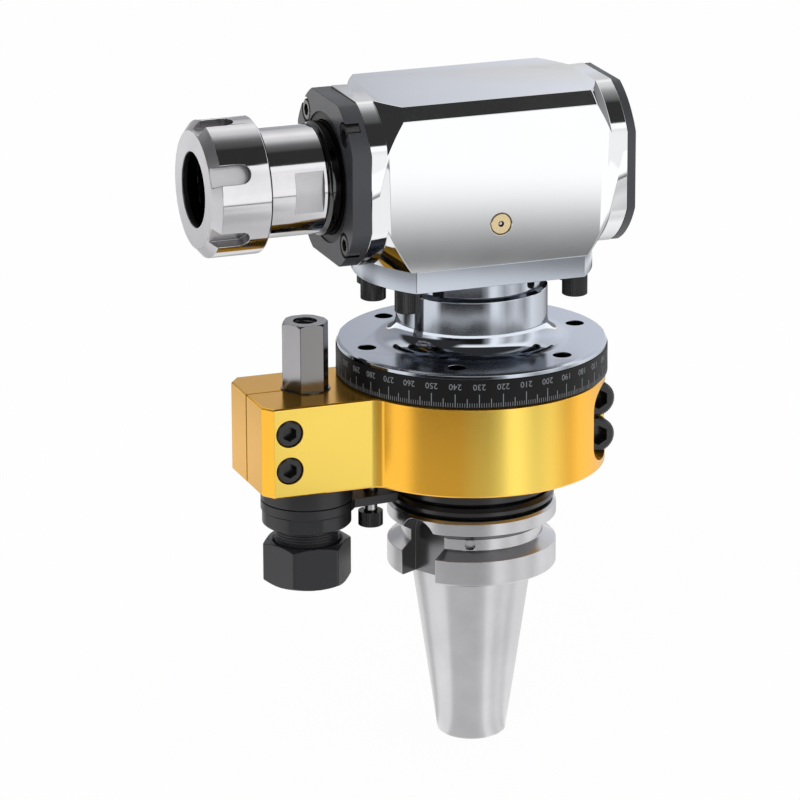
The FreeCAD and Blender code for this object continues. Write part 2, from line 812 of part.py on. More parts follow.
def nut_parts():
    body = turned_x("collet_nut", [
        (NUT_FACE, "nut_bore_r"),
        (NUT_FACE, "nut_r - nut_chamfer_drop"),
        (f"{NUT_FACE} + nut_chamfer", "nut_r"),
        (f"{NUT_BACK} - 0.8", "nut_r"),
        (NUT_BACK, "nut_r - 0.8"),
        (NUT_BACK, "spindle_r + thread_gap"),
        (RING_LIP, "spindle_r + thread_gap"),
        (RING_LIP, "nut_bore_r + pressure_ring_wall + 3 * side_gap"),
        (NUT_INSIDE, "nut_bore_r + pressure_ring_wall + 3 * side_gap"),
        (NUT_INSIDE, "nut_bore_r"),
    ])
    half = "nut_slot_half"
    front = f"{NUT_FACE} - 1"
    end = f"{NUT_FACE} + nut_slot_length - {half}"
    def action():
        sketch = new_sketch(body, "XY_Plane", "nut_r - nut_slot_depth")
        corners = [(front, f"-{half}"), (end, f"-{half}"), (end, half), (front, half)]
        add_rounded(sketch, corners, {1: (f"{end} + {half}", "0", "DistanceX", end)})
        return add_feature(body, "Pocket", sketch, Length="nut_r", Reversed=True)
    slot = checked(body, action)
    pattern(body, slot, "nut_slots", "X_Axis")
    turn_body(body, Rotation(Vector(1, 0, 0), value("nut_slot_turn")))
    keep(body, "collet_nut")
    low = f"({NUT_INSIDE} + side_gap)"
    high = f"({low} + pressure_ring_height)"
    ring = turned_x("nut_pressure_ring", [
        (low, "nut_bore_r + 2 * side_gap"),
        (low, "nut_bore_r + 2 * side_gap + pressure_ring_wall"),
        (high, "nut_bore_r + 2 * side_gap + pressure_ring_wall"),
        (high, "nut_bore_r + 8 * side_gap"),
    ])
    keep(ring, "nut_pressure_ring")


# Housing with its covers

def housing():
    body = new_body("housing", "0", "axis_height")
    side, high = "block_half_width", "block_half_height"
    pad_outline(body, "YZ_Plane", "-block_front", [
        (f"-{side}", f"-{high}"),
        (side, f"-{high}"),
        (side, f"{high} - block_chamfer_drop"),
        (f"{side} - block_chamfer_side", high),
        (f"-{side} + block_chamfer_side", high),
        (f"-{side}", f"{high} - block_chamfer_drop"),
    ], "block_front + block_rear")
    far = "turned_r + turned_slope_length"
    for sign, end in (("-", "block_front"), ("", "block_rear")):
        cut_spin(body, [
            (f"{sign}({end} + 1)", "turned_r"),
            (f"{sign}({end} - turned_length)", "turned_r"),
            (f"{sign}({end} - turned_length - turned_slope_length * 0.92)", far),
            (f"{sign}({end} + 1)", far),
        ], "H_Axis")
    cut_spin(body, [
        ("-block_front - 1", "0"),
        ("-block_front - 1", "front_bearing_r + fit_gap / 2"),
        (FRONT_END, "front_bearing_r + fit_gap / 2"),
        (FRONT_END, "cavity_r"),
        ("cavity_rear", "cavity_r"),
        ("cavity_rear", "rear_bearing_r + fit_gap / 2"),
        ("block_rear + 1", "rear_bearing_r + fit_gap / 2"),
        ("block_rear + 1", "0"),
    ], "H_Axis")
    cut_circles(body, "XY_Plane", "-block_half_height", [("0", "0", "cavity_r")],
                "block_half_height", reverse=True)
    off = "plate_screw_offset"
    for at, thread_r, back in (("-block_front", M5, True), ("block_rear", M4, False)):
        cut_circles(body, "YZ_Plane", at,
                    [(i + off, j + off, screw_hole(thread_r)) for i, j in SIGNS],
                    "plate_hole_depth", reverse=back)
    cut_circles(body, "XY_Plane", "-block_half_height",
                [(x, y, screw_hole(M6)) for x, y in base_screw_places()],
                "base_screw_bite + 2 * side_gap", reverse=True)
    cut_circles(body, "XZ_Plane", "block_half_width",
                [("0", "-oiler_drop", "oiler_r + fit_gap")], "oiler_length + fit_gap")
    return keep(body, "housing")


def base_screw_places():
    reach = "base_screw_circle_r"
    places = [(reach, "0"), (f"-{reach}", "0")]
    turn = "base_screw_angle"
    for i, j in SIGNS:
        places.append((f"{i}({reach} * cos({turn}))", f"{j}({reach} * sin({turn}))"))
    return places


def plate_body(name, near, far, bore):
    """An end plate: a disc with four flats, level with the housing's sides."""
    body = turned_x(name, along_x(ring_section(near, far, bore, "turned_r")))
    def action():
        sketch = new_sketch(body, "YZ_Plane", near)
        add_outline(sketch, [(f"{i}3 * turned_r", f"{j}3 * turned_r")
                             for i, j in (("-", "-"), ("", "-"), ("", ""), ("-", ""))])
        side, high = "plate_half_width", "plate_half_height"
        add_outline(sketch, [(f"-{side}", f"-{high}"), (side, f"-{high}"),
                             (side, high), (f"-{side}", high)])
        return add_feature(body, "Pocket", sketch, Length="3 * turned_r", Midplane=True)
    checked(body, action)
    return body


def end_plates():
    face = "(-block_front - front_plate_thick)"
    off = "plate_screw_offset"
    spots = [(i + off, j + off) for i, j in SIGNS]
    front = plate_body("front_plate", face, "-block_front", "spindle_r + 4")
    cut_circles(front, "YZ_Plane", face, [(x, y, screw_hole(M5)) for x, y in spots],
                "front_plate_thick", reverse=True)
    cut_circles(front, "YZ_Plane", face, [(x, y, "plate_pocket_r") for x, y in spots],
                "front_plate_thick - plate_pocket_floor", reverse=True)
    keep(front, "front_plate")
    cap_screws("front_plate_screws",
                [("-block_front - plate_pocket_floor", x, f"axis_height + {y}") for x, y in spots],
                M5, "front_screw_length", (-1, 0, 0))
    seal = turned_x("front_seal", [
        (f"{face} + 1.7", "spindle_r - 1.6 + run_gap"),
        (f"{face} + 1.7", "spindle_ring_r + side_gap"),
        (f"{face} + 0.5", "spindle_ring_r + side_gap"),
        (f"{face} + 0.5", "spindle_r + 4 - fit_gap"),
        ("-block_front - 1", "spindle_r + 4 - fit_gap"),
        ("-block_front - 1", "spindle_r + 2"),
        (f"{face} + 3.4", "spindle_r + 2"),
        (f"{face} + 3.4", "spindle_r - 1.6 + run_gap"),
    ])
    keep(seal, "front_seal")
    outer = "(block_rear + rear_cover_thick)"
    rear = plate_body("rear_cover", "block_rear", outer, "0")
    cut_circles(rear, "YZ_Plane", outer, [(x, y, screw_hole(M4)) for x, y in spots],
                "rear_cover_thick")
    dress(rear, "Chamfer", lambda edge: is_ring(edge, screw_hole(M4), outer, 0), Size=M4)
    keep(rear, "rear_cover")
    screw_group("rear_cover_screws", [
        flat_screw(f"rear_cover_screw_{i}", M4, "rear_screw_length",
                   (outer, x, f"axis_height + {y}"), (1, 0, 0))
        for i, (x, y) in enumerate(spots)])


# Neck and flange below the housing

def neck_flange():
    low, top = BASE_LOW, BASE_TOP
    body = turned_z("neck_flange", [
        ("sleeve_r - 3", SLEEVE_LOW),
        ("sleeve_r", f"{SLEEVE_LOW} + 1"),
        ("sleeve_r", DEGREE_LOW),
        (f"{DEGREE_BORE_R} - fit_gap", DEGREE_LOW),
        (f"{DEGREE_BORE_R} - fit_gap", HEAD_RIM_LOW),
        (HEAD_FLANGE_R, HEAD_RIM_LOW),
        (HEAD_FLANGE_R, f"{HEAD_TOP} - head_flange_chamfer"),
        (f"{HEAD_FLANGE_R} - head_flange_chamfer", HEAD_TOP),
        ("neck_r", HEAD_TOP),
        ("neck_r", f"{NECK_RIM} - neck_chamfer"),
        ("neck_r - neck_chamfer", NECK_RIM),
        ("neck_relief_r", NECK_RIM),
        ("neck_relief_r", low),
        ("base_r", low),
        ("base_r", top),
        ("cavity_r - fit_gap", top),
        ("cavity_r - fit_gap", f"{top} + spigot_height"),
        ("neck_bearing_r - 2", f"{top} + spigot_height"),
        ("neck_bearing_r - 2", f"{NECK_BEARING_LOW} + neck_bearing_width"),
        ("neck_bearing_r + fit_gap / 2", f"{NECK_BEARING_LOW} + neck_bearing_width"),
        ("neck_bearing_r + fit_gap / 2", NECK_BEARING_LOW),
        ("neck_bearing_r - 2", NECK_BEARING_LOW),
        ("neck_bearing_r - 2", f"{JOURNAL_TOP} + 4"),
        ("input_bearing_r - 4", f"{JOURNAL_TOP} + 4"),
        ("input_bearing_r - 4", INPUT_TOP),
        ("input_bearing_r + fit_gap / 2", INPUT_TOP),
        ("input_bearing_r + fit_gap / 2", SLEEVE_LOW),
    ])
    return body


def finish_neck_flange(body):
    """Cut the flats and holes, and round the neck into the flange."""
    side = "block_half_width"
    def action():
        sketch = new_sketch(body, "XY_Plane", BASE_LOW)
        for sign in ("-", ""):
            add_outline(sketch, [("-2 * base_r", f"{sign}{side}"), ("2 * base_r", f"{sign}{side}"),
                                 ("2 * base_r", f"{sign}2 * base_r"),
                                 ("-2 * base_r", f"{sign}2 * base_r")])
        return add_feature(body, "Pocket", sketch, Length="base_thick", Reversed=True)
    checked(body, action)
    cut_circles(body, "XY_Plane", BASE_LOW,
                [(x, y, screw_hole(M6)) for x, y in base_screw_places()], "base_thick", reverse=True)
    holes = []
    for i in range(6):
        turn = f"(60 * {i} + flange_hole_turn)"
        holes.append((f"{HOLE_CIRCLE_R} * cos({turn})", f"{HOLE_CIRCLE_R} * sin({turn})",
                      "flange_hole_r"))
    cut_circles(body, "XY_Plane", HEAD_TOP, holes, "flange_hole_depth")
    dress(body, "Fillet", lambda edge: is_ring(edge, "neck_r", HEAD_TOP),
          Radius=f"min(neck_fillet; neck_fillet_most * ({NECK_RIM} - {HEAD_TOP}))")
    return keep(body, "neck_flange")


def head_parts():
    housing()
    end_plates()
    finish_neck_flange(neck_flange())
    cap_screws("base_screws", [(x, y, BASE_LOW) for x, y in base_screw_places()],
                M6, "base_thick + base_screw_bite", (0, 0, -1), "1.15")
    ring = turned_z("degree_ring", ring_section(
        DEGREE_LOW, HEAD_RIM_LOW, DEGREE_BORE_R, "degree_ring_r"))
    dress(ring, "Chamfer", lambda edge: is_ring(edge, "degree_ring_r", DEGREE_LOW), Size="0.4")
    keep(ring, "degree_ring")
    cover = turned_z("lower_seal_cover", [
        (COVER_BORE_R, COVER_LOW),
        ("collar_r - 1.6", COVER_LOW),
        ("collar_r - 0.6", f"{COVER_LOW} + 1"),
        ("collar_r - 0.6", SLEEVE_LOW),
        ("input_bearing_r - fit_gap", SLEEVE_LOW),
        ("input_bearing_r - fit_gap", INPUT_LOW),
        ("input_bearing_r - 5", INPUT_LOW),
        ("input_bearing_r - 5", COVER_TOP),
        (COVER_BORE_R, COVER_TOP),
    ])
    keep(cover, "lower_seal_cover")
    seal = turned_z("lower_seal", ring_section(
        f"{COVER_LOW} + 2 * lower_cover_gap", f"{SHANK_HUB_TOP} - 0.5", "shank_hub_r + run_gap",
        f"{COVER_BORE_R} - fit_gap"))
    keep(seal, "lower_seal")


def oiler_parts():
    y = "-block_half_width"
    z = "(axis_height - oiler_drop)"
    body = new_body("oiler_body", "0", z)
    spin(body, [
        ("oiler_ball_r * 0.8", y),
        ("oiler_r - 0.5", y),
        ("oiler_r", f"{y} + 0.5"),
        ("oiler_r", f"{y} + oiler_length"),
        ("oiler_ball_r * 0.8", f"{y} + oiler_length"),
        ("oiler_ball_r * 0.8", f"{y} + oiler_length - 1"),
        ("oiler_ball_r + run_gap", f"{y} + oiler_length - 1"),
        ("oiler_ball_r + run_gap", f"{y} + oiler_ball_r * 0.6"),
    ], "V_Axis")
    turn_body(body, Rotation(Vector(1, 0, 0), -90))
    keep(body, "oiler_body")
    ball = DOC.addObject("Part::Sphere", "oiler_ball")
    ball.setExpression("Radius", expand("oiler_ball_r"))
    ball.setExpression("Placement.Base.y", expand(f"{y} + oiler_ball_r * 1.24"))
    ball.setExpression("Placement.Base.z", expand(z))
    keep(ball, "oiler_ball")


# Clamp ring with its arm

def clamp_ring():
    body = new_body("clamp_ring")
    sketch = new_sketch(body, "XY_Plane", "ring_low")
    add_circle(sketch, "0", "0", RING_R)
    add_feature(body, "Pad", sketch, Length="ring_height")
    wide, reach = "arm_half_width", "arm_reach"
    pad_outline(body, "XY_Plane", "ring_low", [
        ("-sleeve_r", f"-{wide}"),
        ("-sleeve_r", wide),
        (f"-{reach} + arm_corner_x", wide),
        (f"-{reach}", f"{wide} - arm_corner_y"),
        (f"-{reach}", f"-{wide} + arm_corner_y"),
        (f"-{reach} + arm_corner_x", f"-{wide}"),
    ], "ring_height")
    def inner_corner(edge):
        spot = edge.CenterOfMass
        tall = abs(edge.BoundBox.ZLength - value("ring_height")) < 1e-3
        on_arm = abs(abs(spot.y) - value(wide)) < 1e-3
        return tall and on_arm and math.hypot(spot.x, spot.y) < value(RING_R) + 1e-3
    dress(body, "Fillet", inner_corner, Radius="arm_fillet")
    def outer_edge(edge):
        spot = edge.CenterOfMass
        flat = edge.BoundBox.ZLength < 1e-3
        return flat and math.hypot(spot.x, spot.y) > 1
    dress(body, "Chamfer", outer_edge, Size="ring_chamfer")
    cut_circles(body, "XY_Plane", "ring_low", [("0", "0", "sleeve_r + run_gap")],
                "ring_height", reverse=True)
    pin = "-pin_offset"
    cut_circles(body, "XY_Plane", "ring_low", [(pin, "0", "pin_r + run_gap")],
                "ring_height", reverse=True)
    cut_circles(body, "XY_Plane", "ring_low", [(pin, "0", "stack_r + side_gap")],
                "release_travel + 0.6", reverse=True)
    cut_slits(body)
    cut_clamp_holes(body)
    cut_circles(body, "XY_Plane", "ring_low", [("-guide_screw_x", "0", "guide_screw_r + thread_gap")],
                "16", reverse=True)
    return keep(body, "clamp_ring")


def cut_slits(body):
    half = "arm_slit / 2"
    cut_outline(body, "XY_Plane", "ring_low", [
        ("-arm_reach - 1", f"-{half}"), ("-pin_offset - pin_r + 1", f"-{half}"),
        ("-pin_offset - pin_r + 1", half), ("-arm_reach - 1", half)],
        "ring_height", reverse=True)
    half = "ring_slit / 2"
    cut_outline(body, "XY_Plane", "ring_low", [
        ("sleeve_r - 2", f"-{half}"), (f"{RING_R} + 1", f"-{half}"),
        (f"{RING_R} + 1", half), ("sleeve_r - 2", half)],
        "ring_height", reverse=True)


SCREW_LEVELS = ["clamp_screw_low", "clamp_screw_low + clamp_screw_step"]


def cut_clamp_holes(body):
    """Counterbores and holes of the arm's two screws and the ring's two screws."""
    arm = [("-arm_screw_x", z, screw_hole(M6)) for z in SCREW_LEVELS]
    cut_circles(body, "XZ_Plane", "arm_half_width", arm,
                "2 * arm_half_width - arm_pocket_depth")
    heads = [("-arm_screw_x", z, "arm_pocket_r") for z in SCREW_LEVELS]
    cut_circles(body, "XZ_Plane", "arm_half_width", heads, "arm_pocket_depth")
    ring = [(CLAMP_X, z, screw_hole(M8)) for z in SCREW_LEVELS]
    cut_circles(body, "XZ_Plane", "clamp_seat_y", ring, "2 * clamp_seat_y + 3")
    half = "clamp_pocket_r"
    x, low, high = CLAMP_X, SCREW_LEVELS[0], SCREW_LEVELS[1]
    def action():
        sketch = new_sketch(body, "XZ_Plane", "clamp_seat_y")
        corners = [(f"{x} - {half}", high), (f"{x} - {half}", low),
                   (f"{x} + {half}", low), (f"{x} + {half}", high)]
        add_rounded(sketch, corners, {1: (x, f"{low} - {half}", "DistanceY", low),
                                      3: (x, f"{high} + {half}", "DistanceY", high)})
        return add_feature(body, "Pocket", sketch, Length=RING_R, Reversed=True)
    checked(body, action)


def ring_parts():
    clamp_ring()
    cap_screws("arm_clamp_screws",
                [("-arm_screw_x", "-arm_half_width + arm_pocket_depth", z) for z in SCREW_LEVELS],
                M6, "2 * arm_half_width - arm_pocket_depth - arm_screw_end", (0, -1, 0), "0.97")
    cap_screws("ring_clamp_screws",
                [(CLAMP_X, "-clamp_seat_y", z) for z in SCREW_LEVELS],
                M8, "2 * clamp_seat_y", (0, -1, 0))
    cap_screws("guide_screw", [("-guide_screw_x", "0", "guide_screw_low + 5.6")],
                "guide_screw_r", "ring_low - guide_screw_low - 5.6 + 14", (0, 0, -1), "1.12")


# Locating pin and the sprung release stack below the arm

CLIP_LOW = "(pin_tip + 1.6)"
NUT_LOW = f"({ARM_LOW} - ring_nut_height)"
RING_NUT_TURN = -20
CAP_NUT_TURN = -6


def locating_pin():
    body = turned_z("locating_pin", [
        ("0", "pin_tip"),
        ("pin_core_r - 0.8", "pin_tip"),
        ("pin_core_r", "pin_tip + 0.8"),
        ("pin_core_r", PIN_SHOULDER),
        ("pin_r", PIN_SHOULDER),
        ("pin_r", f"{PIN_TOP} - 1"),
        ("pin_r - 1", PIN_TOP),
        ("0", PIN_TOP),
    ], "-pin_offset")
    def flats():
        sketch = new_sketch(body, "XY_Plane", f"{RING_TOP} + 0.5")
        add_circle(sketch, "0", "0", "2 * pin_r")
        add_hexagon(sketch, "pin_hex_half")
        return add_feature(body, "Pocket", sketch, Length=PIN_TOP, Reversed=True)
    checked(body, flats)
    cut_circles(body, "XY_Plane", PIN_TOP, [("0", "0", "pin_bore_r")], "16")
    cut_spin(body, [
        ("pin_core_r - 0.9", CLIP_LOW), ("pin_core_r + 1", CLIP_LOW),
        ("pin_core_r + 1", f"{CLIP_LOW} + 1.1"), ("pin_core_r - 0.9", f"{CLIP_LOW} + 1.1")],
        "V_Axis")
    return keep(body, "locating_pin")


def add_hexagon(sketch, half_flat):
    """A hexagon with this distance from its centre to its flats."""
    points = []
    for i in range(6):
        angle = f"(60 * {i})"
        far = f"{half_flat} / cos(30)"
        points.append((f"{far} * cos({angle})", f"{far} * sin({angle})"))
    add_outline(sketch, points)


def release_parts():
    at = "-pin_offset"
    bottom = "stack_neck_low"
    sleeve = turned_z("release_sleeve", [
        ("pin_core_r + run_gap", bottom),
        ("stack_neck_r - 0.8", bottom),
        ("stack_neck_r", f"{bottom} + 0.8"),
        ("stack_neck_r", ARM_TOP),
        ("stack_r - 0.5", ARM_TOP),
        ("stack_r", f"{ARM_TOP} + 0.5"),
        ("stack_r", STACK_TOP),
        ("spring_chamber_r", STACK_TOP),
        ("spring_chamber_r", "spring_floor"),
        ("pin_core_r + run_gap", "spring_floor"),
    ], at)
    keep(sleeve, "release_sleeve")
    lock_arm()
    ring_nut = turned_z("ring_nut", [
        ("stack_neck_r + thread_gap", NUT_LOW),
        ("stack_r - 1.3", NUT_LOW),
        ("stack_r - 0.5", f"{NUT_LOW} + 0.8"),
        ("stack_r - 0.5", f"{ARM_LOW} - 0.4"),
        ("stack_r - 0.9", ARM_LOW),
        ("stack_neck_r + thread_gap", ARM_LOW),
    ], at)
    def flats():
        sketch = new_sketch(ring_nut, "XY_Plane", NUT_LOW)
        for sign in ("-", ""):
            near = f"{sign}ring_nut_flat"
            far = f"{sign}2 * stack_r"
            add_outline(sketch, [("-stack_r", near), ("stack_r", near),
                                 ("stack_r", far), ("-stack_r", far)])
        return add_feature(ring_nut, "Pocket", sketch, Length="ring_nut_height", Reversed=True)
    checked(ring_nut, flats)
    turn_body(ring_nut, Rotation(Vector(0, 0, 1), RING_NUT_TURN))
    keep(ring_nut, "ring_nut")
    cap = turned_z("cap_nut", [
        ("pin_core_r + 1", "cap_nut_low"),
        ("cap_nut_half_flat", "cap_nut_low"),
        ("cap_nut_r", "cap_nut_low + 1"),
        ("cap_nut_r", "cap_nut_top - 1"),
        ("cap_nut_half_flat", "cap_nut_top"),
        ("stack_neck_r + 1.4", "cap_nut_top"),
        ("stack_neck_r + thread_gap", "cap_nut_top - 1.4"),
        ("stack_neck_r + thread_gap", "stack_neck_low - 0.4"),
        ("pin_core_r + 1", "stack_neck_low - 0.4"),
    ], at)
    def hexagon():
        sketch = new_sketch(cap, "XY_Plane", "cap_nut_low - 1")
        add_circle(sketch, "0", "0", "2 * cap_nut_r")
        add_hexagon(sketch, "cap_nut_half_flat")
        return add_feature(cap, "Pocket", sketch, Length="cap_nut_top", Reversed=True)
    checked(cap, hexagon)
    turn_body(cap, Rotation(Vector(0, 0, 1), CAP_NUT_TURN))
    keep(cap, "cap_nut")
    clip = turned_z("pin_clip", ring_section(
        f"{CLIP_LOW} + 0.05", f"{CLIP_LOW} + 1.05", "pin_core_r - 0.85", "pin_core_r + 0.7"), at)
    keep(clip, "pin_clip")
    spring_coil("release_spring", "spring_floor", PIN_SHOULDER, "-pin_offset")


def lock_arm():
    """The flat arm that swings with the stack and reaches to the shank's collar."""
    body = turned_z("lock_arm", ring_section(
        ARM_LOW, ARM_TOP, "stack_neck_r + fit_gap / 2", "stack_r"),
        "-pin_offset")
    wide, tip = "lock_arm_half_width", "lock_arm_tip_half_width"
    end = "pin_offset - collar_r - 0.8"
    pad_outline(body, "XY_Plane", ARM_LOW, [
        ("stack_neck_r + 2", f"-{wide} - 3"),
        ("stack_r - 1", f"-{wide}"),
        (end, f"-{tip}"),
        (end, tip),
        ("stack_r - 1", wide),
        ("stack_neck_r + 2", f"{wide} + 3"),
    ], "lock_arm_thick")
    cut_circles(body, "XY_Plane", ARM_LOW,
                [("pin_offset - guide_screw_x", "0", "guide_screw_r + side_gap")],
                "lock_arm_thick", reverse=True)
    return keep(body, "lock_arm")


def spring_coil(label, low, high, x):
    """A coil spring of square wire, with its ends inside its seats."""
    coil = DOC.addObject("Part::Helix", label + "_path")
    wire = "spring_wire_r"
    coil.setExpression("Pitch", expand(f"(({high}) - ({low}) - 2 * {wire} - 0.2) / spring_turns"))
    coil.setExpression("Height", expand(f"({high}) - ({low}) - 2 * {wire} - 0.2"))
    coil.setExpression("Radius", expand(f"spring_chamber_r - {wire} - side_gap"))
    ring = DOC.addObject("Part::RegularPolygon", label + "_section")
    ring.Polygon = 4
    ring.setExpression("Circumradius", expand(wire))
    ring.setExpression("Placement.Base.x", expand(f"spring_chamber_r - {wire} - side_gap"))
    ring.Placement.Rotation = Rotation(Vector(1, 0, 0), 90)
    sweep = DOC.addObject("Part::Sweep", label)
    sweep.Sections = [ring]
    sweep.Spine = coil
    sweep.Solid = True
    sweep.Frenet = True
    sweep.setExpression("Placement.Base.x", expand(x))
    sweep.setExpression("Placement.Base.z", expand(f"({low}) + {wire} + 0.1"))
    return keep(sweep, label)


def write_parts():
    DOC.recompute()
    for item in DOC.Objects:
        if "Invalid" in item.State or "Error" in item.State:
            raise RuntimeError(f"{item.Name}: {item.State}")
    os.makedirs("parts", exist_ok=True)
    for item in PARTS:
        shape = item.Shape
        if shape.isNull() or not shape.isValid() or not shape.Solids:
            raise RuntimeError(f"{item.Label}: bad shape")
        shape.exportStep(f"parts/{item.Label}.step")
        print(f"{item.Label}: {len(shape.Solids)} solids, {shape.Volume:.0f} mm3")


input_parts()
output_parts()
nut_parts()
head_parts()
oiler_parts()
ring_parts()
locating_pin()
release_parts()
write_parts()
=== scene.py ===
import json
import math

import bmesh
import bpy
from mathutils import Matrix, Vector


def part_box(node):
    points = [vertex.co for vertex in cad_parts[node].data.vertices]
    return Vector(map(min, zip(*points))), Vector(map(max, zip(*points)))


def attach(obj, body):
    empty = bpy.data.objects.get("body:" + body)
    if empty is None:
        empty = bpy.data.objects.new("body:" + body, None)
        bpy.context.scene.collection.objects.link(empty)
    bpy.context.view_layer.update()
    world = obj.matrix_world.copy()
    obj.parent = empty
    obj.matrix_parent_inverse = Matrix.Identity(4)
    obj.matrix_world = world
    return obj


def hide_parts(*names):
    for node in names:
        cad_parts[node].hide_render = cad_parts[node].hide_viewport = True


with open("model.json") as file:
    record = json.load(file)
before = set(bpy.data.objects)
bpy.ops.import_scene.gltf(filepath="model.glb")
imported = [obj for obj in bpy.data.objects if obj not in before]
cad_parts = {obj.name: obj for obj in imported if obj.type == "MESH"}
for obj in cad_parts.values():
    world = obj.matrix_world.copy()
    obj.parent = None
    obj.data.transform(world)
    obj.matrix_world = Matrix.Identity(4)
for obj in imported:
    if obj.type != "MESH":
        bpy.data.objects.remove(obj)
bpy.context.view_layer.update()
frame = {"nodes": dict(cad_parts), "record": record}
NODES = frame["nodes"]
MM = 0.001
UP = Vector((0, 0, 1))

# Places that the CAD nodes give

AXIS_Z = sum(corner[2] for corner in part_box("output_spindle")) / 2
BASE_SCREW_HEAD = 6.9 * MM
BASE_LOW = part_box("base_screws")[0][2] + BASE_SCREW_HEAD
PLATE_SCREW_OFFSET = 20.4
PIN_X = -65 * MM
PIN_SHOULDER_Z = 76.8 * MM
GUIDE_X = -40 * MM
RING_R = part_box("degree_ring")[1][0]
RING_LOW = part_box("degree_ring")[0][2]


# Modelling helpers

def deselect():
    bpy.ops.object.select_all(action="DESELECT")


def pick(*objects):
    """Select these objects only, with the first one active."""
    deselect()
    for item in objects:
        item.select_set(True)
    bpy.context.view_layer.objects.active = objects[0]


def new_piece(name):
    """Name the primitive that was just added."""
    piece = bpy.context.active_object
    piece.name = name
    piece.data.name = name
    return piece


def cylinder(name, radius, low, high, sides=96):
    """A cylinder round the vertical axis through the origin."""
    deselect()
    bpy.ops.mesh.primitive_cylinder_add(
        vertices=sides, radius=radius, depth=high - low, location=(0, 0, (low + high) / 2))
    piece = new_piece(name)
    bpy.ops.object.transform_apply(location=True)
    return piece


def edit(piece, chosen, mode="VERT"):
    """Enter edit mode with the vertices, edges or faces that a test picks out."""
    pick(piece)
    bpy.ops.object.mode_set(mode="EDIT")
    bpy.ops.mesh.select_mode(type=mode)
    mesh = bmesh.from_edit_mesh(piece.data)
    for item in (*mesh.verts, *mesh.edges, *mesh.faces):
        item.select = False
    members = {"VERT": mesh.verts, "EDGE": mesh.edges, "FACE": mesh.faces}[mode]
    for item in members:
        if chosen(item):
            item.select_set(True)
    bmesh.update_edit_mesh(piece.data)


def leave_edit():
    bpy.ops.object.mode_set(mode="OBJECT")


def apply_modifier(piece, kind, **settings):
    pick(piece)
    modifier = piece.modifiers.new(kind.lower(), kind)
    for key, value in settings.items():
        setattr(modifier, key, value)
    bpy.ops.object.modifier_apply(modifier=modifier.name)


def cut(piece, tool):
    """Take a tool's shape out of a piece."""
    apply_modifier(piece, "BOOLEAN", operation="DIFFERENCE", object=tool, solver="EXACT")
    bpy.data.objects.remove(tool)


def copies(piece, places):
    """Put a copy of a piece, each with its own mesh, at every place and join them."""
    members = []
    for place in places:
        twin = piece.copy()
        twin.data = piece.data.copy()
        bpy.context.scene.collection.objects.link(twin)
        twin.data.transform(place)
        members.append(twin)
    name = piece.name
    bpy.data.objects.remove(piece)
    pick(*members)
    if len(members) > 1:
        bpy.ops.object.join()
    return new_piece(name)


def smooth(piece, angle=30):
    pick(piece)
    bpy.ops.object.shade_smooth_by_angle(angle=math.radians(angle))


def turned_to(direction):
    """The turn that takes +Z to a direction."""
    return UP.rotation_difference(Vector(direction)).to_matrix().to_4x4()


def at(x, y, z, direction=(0, 0, 1)):
    return Matrix.Translation(Vector((x, y, z))) @ turned_to(direction)


# Shader groups that several finishes share

def new_group(name, inputs, outputs):
    group = bpy.data.node_groups.new(name, "ShaderNodeTree")
    for label, kind, start in inputs:
        socket = group.interface.new_socket(label, in_out="INPUT", socket_type=kind)
        if start is not None:
            socket.default_value = start
    for label, kind in outputs:
        group.interface.new_socket(label, in_out="OUTPUT", socket_type=kind)
    return group, group.nodes.new("NodeGroupInput"), group.nodes.new("NodeGroupOutput")


def math_node(tree, operation, first, second=None, clamp=False):
    node = tree.nodes.new("ShaderNodeMath")
    node.operation = operation
    node.use_clamp = clamp
    for socket, value in zip(node.inputs, (first, second)):
        if value is None:
            continue
        if isinstance(value, (int, float)):
            socket.default_value = value
        else:
            tree.links.new(value, socket)
    return node.outputs[0]


def noise(tree, vector, scale, detail=4.0, rough=0.6):
    node = tree.nodes.new("ShaderNodeTexNoise")
    tree.links.new(vector, node.inputs["Vector"])
    if isinstance(scale, (int, float)):
        node.inputs["Scale"].default_value = scale
    else:
        tree.links.new(scale, node.inputs["Scale"])
    node.inputs["Detail"].default_value = detail
    node.inputs["Roughness"].default_value = rough
    return node.outputs["Fac"]


def ramp(tree, factor, stops):
    node = tree.nodes.new("ShaderNodeValToRGB")
    elements = node.color_ramp.elements
    while len(elements) < len(stops):
        elements.new(0.5)
    for element, (place, grey) in zip(elements, stops):
        element.position = place
        element.color = (grey, grey, grey, 1) if isinstance(grey, (int, float)) else (*grey, 1)
    tree.links.new(factor, node.inputs["Fac"])
    return node.outputs["Color"]


def split_vector(tree, vector):
    """The X, Y and Z of a vector socket."""
    node = tree.nodes.new("ShaderNodeSeparateXYZ")
    tree.links.new(vector, node.inputs[0])
    return node.outputs["X"], node.outputs["Y"], node.outputs["Z"]


def length_of(tree, x, y):
    squares = math_node(tree, "ADD", math_node(tree, "MULTIPLY", x, x),
                        math_node(tree, "MULTIPLY", y, y))
    return math_node(tree, "SQRT", squares)


def turning_group():
    """Fine rings left by a lathe round the Z axis of the vector."""
    group, source, result = new_group(
        "lathe_marks",
        [("Vector", "NodeSocketVector", None), ("Rings", "NodeSocketFloat", 900.0)],
        [("Mark", "NodeSocketFloat")])
    x, y, z = split_vector(group, source.outputs["Vector"])
    join = group.nodes.new("ShaderNodeCombineXYZ")
    group.links.new(length_of(group, x, y), join.inputs["X"])
    group.links.new(z, join.inputs["Y"])
    mark = noise(group, join.outputs[0], source.outputs["Rings"], detail=3.0, rough=0.7)
    group.links.new(mark, result.inputs["Mark"])
    return group


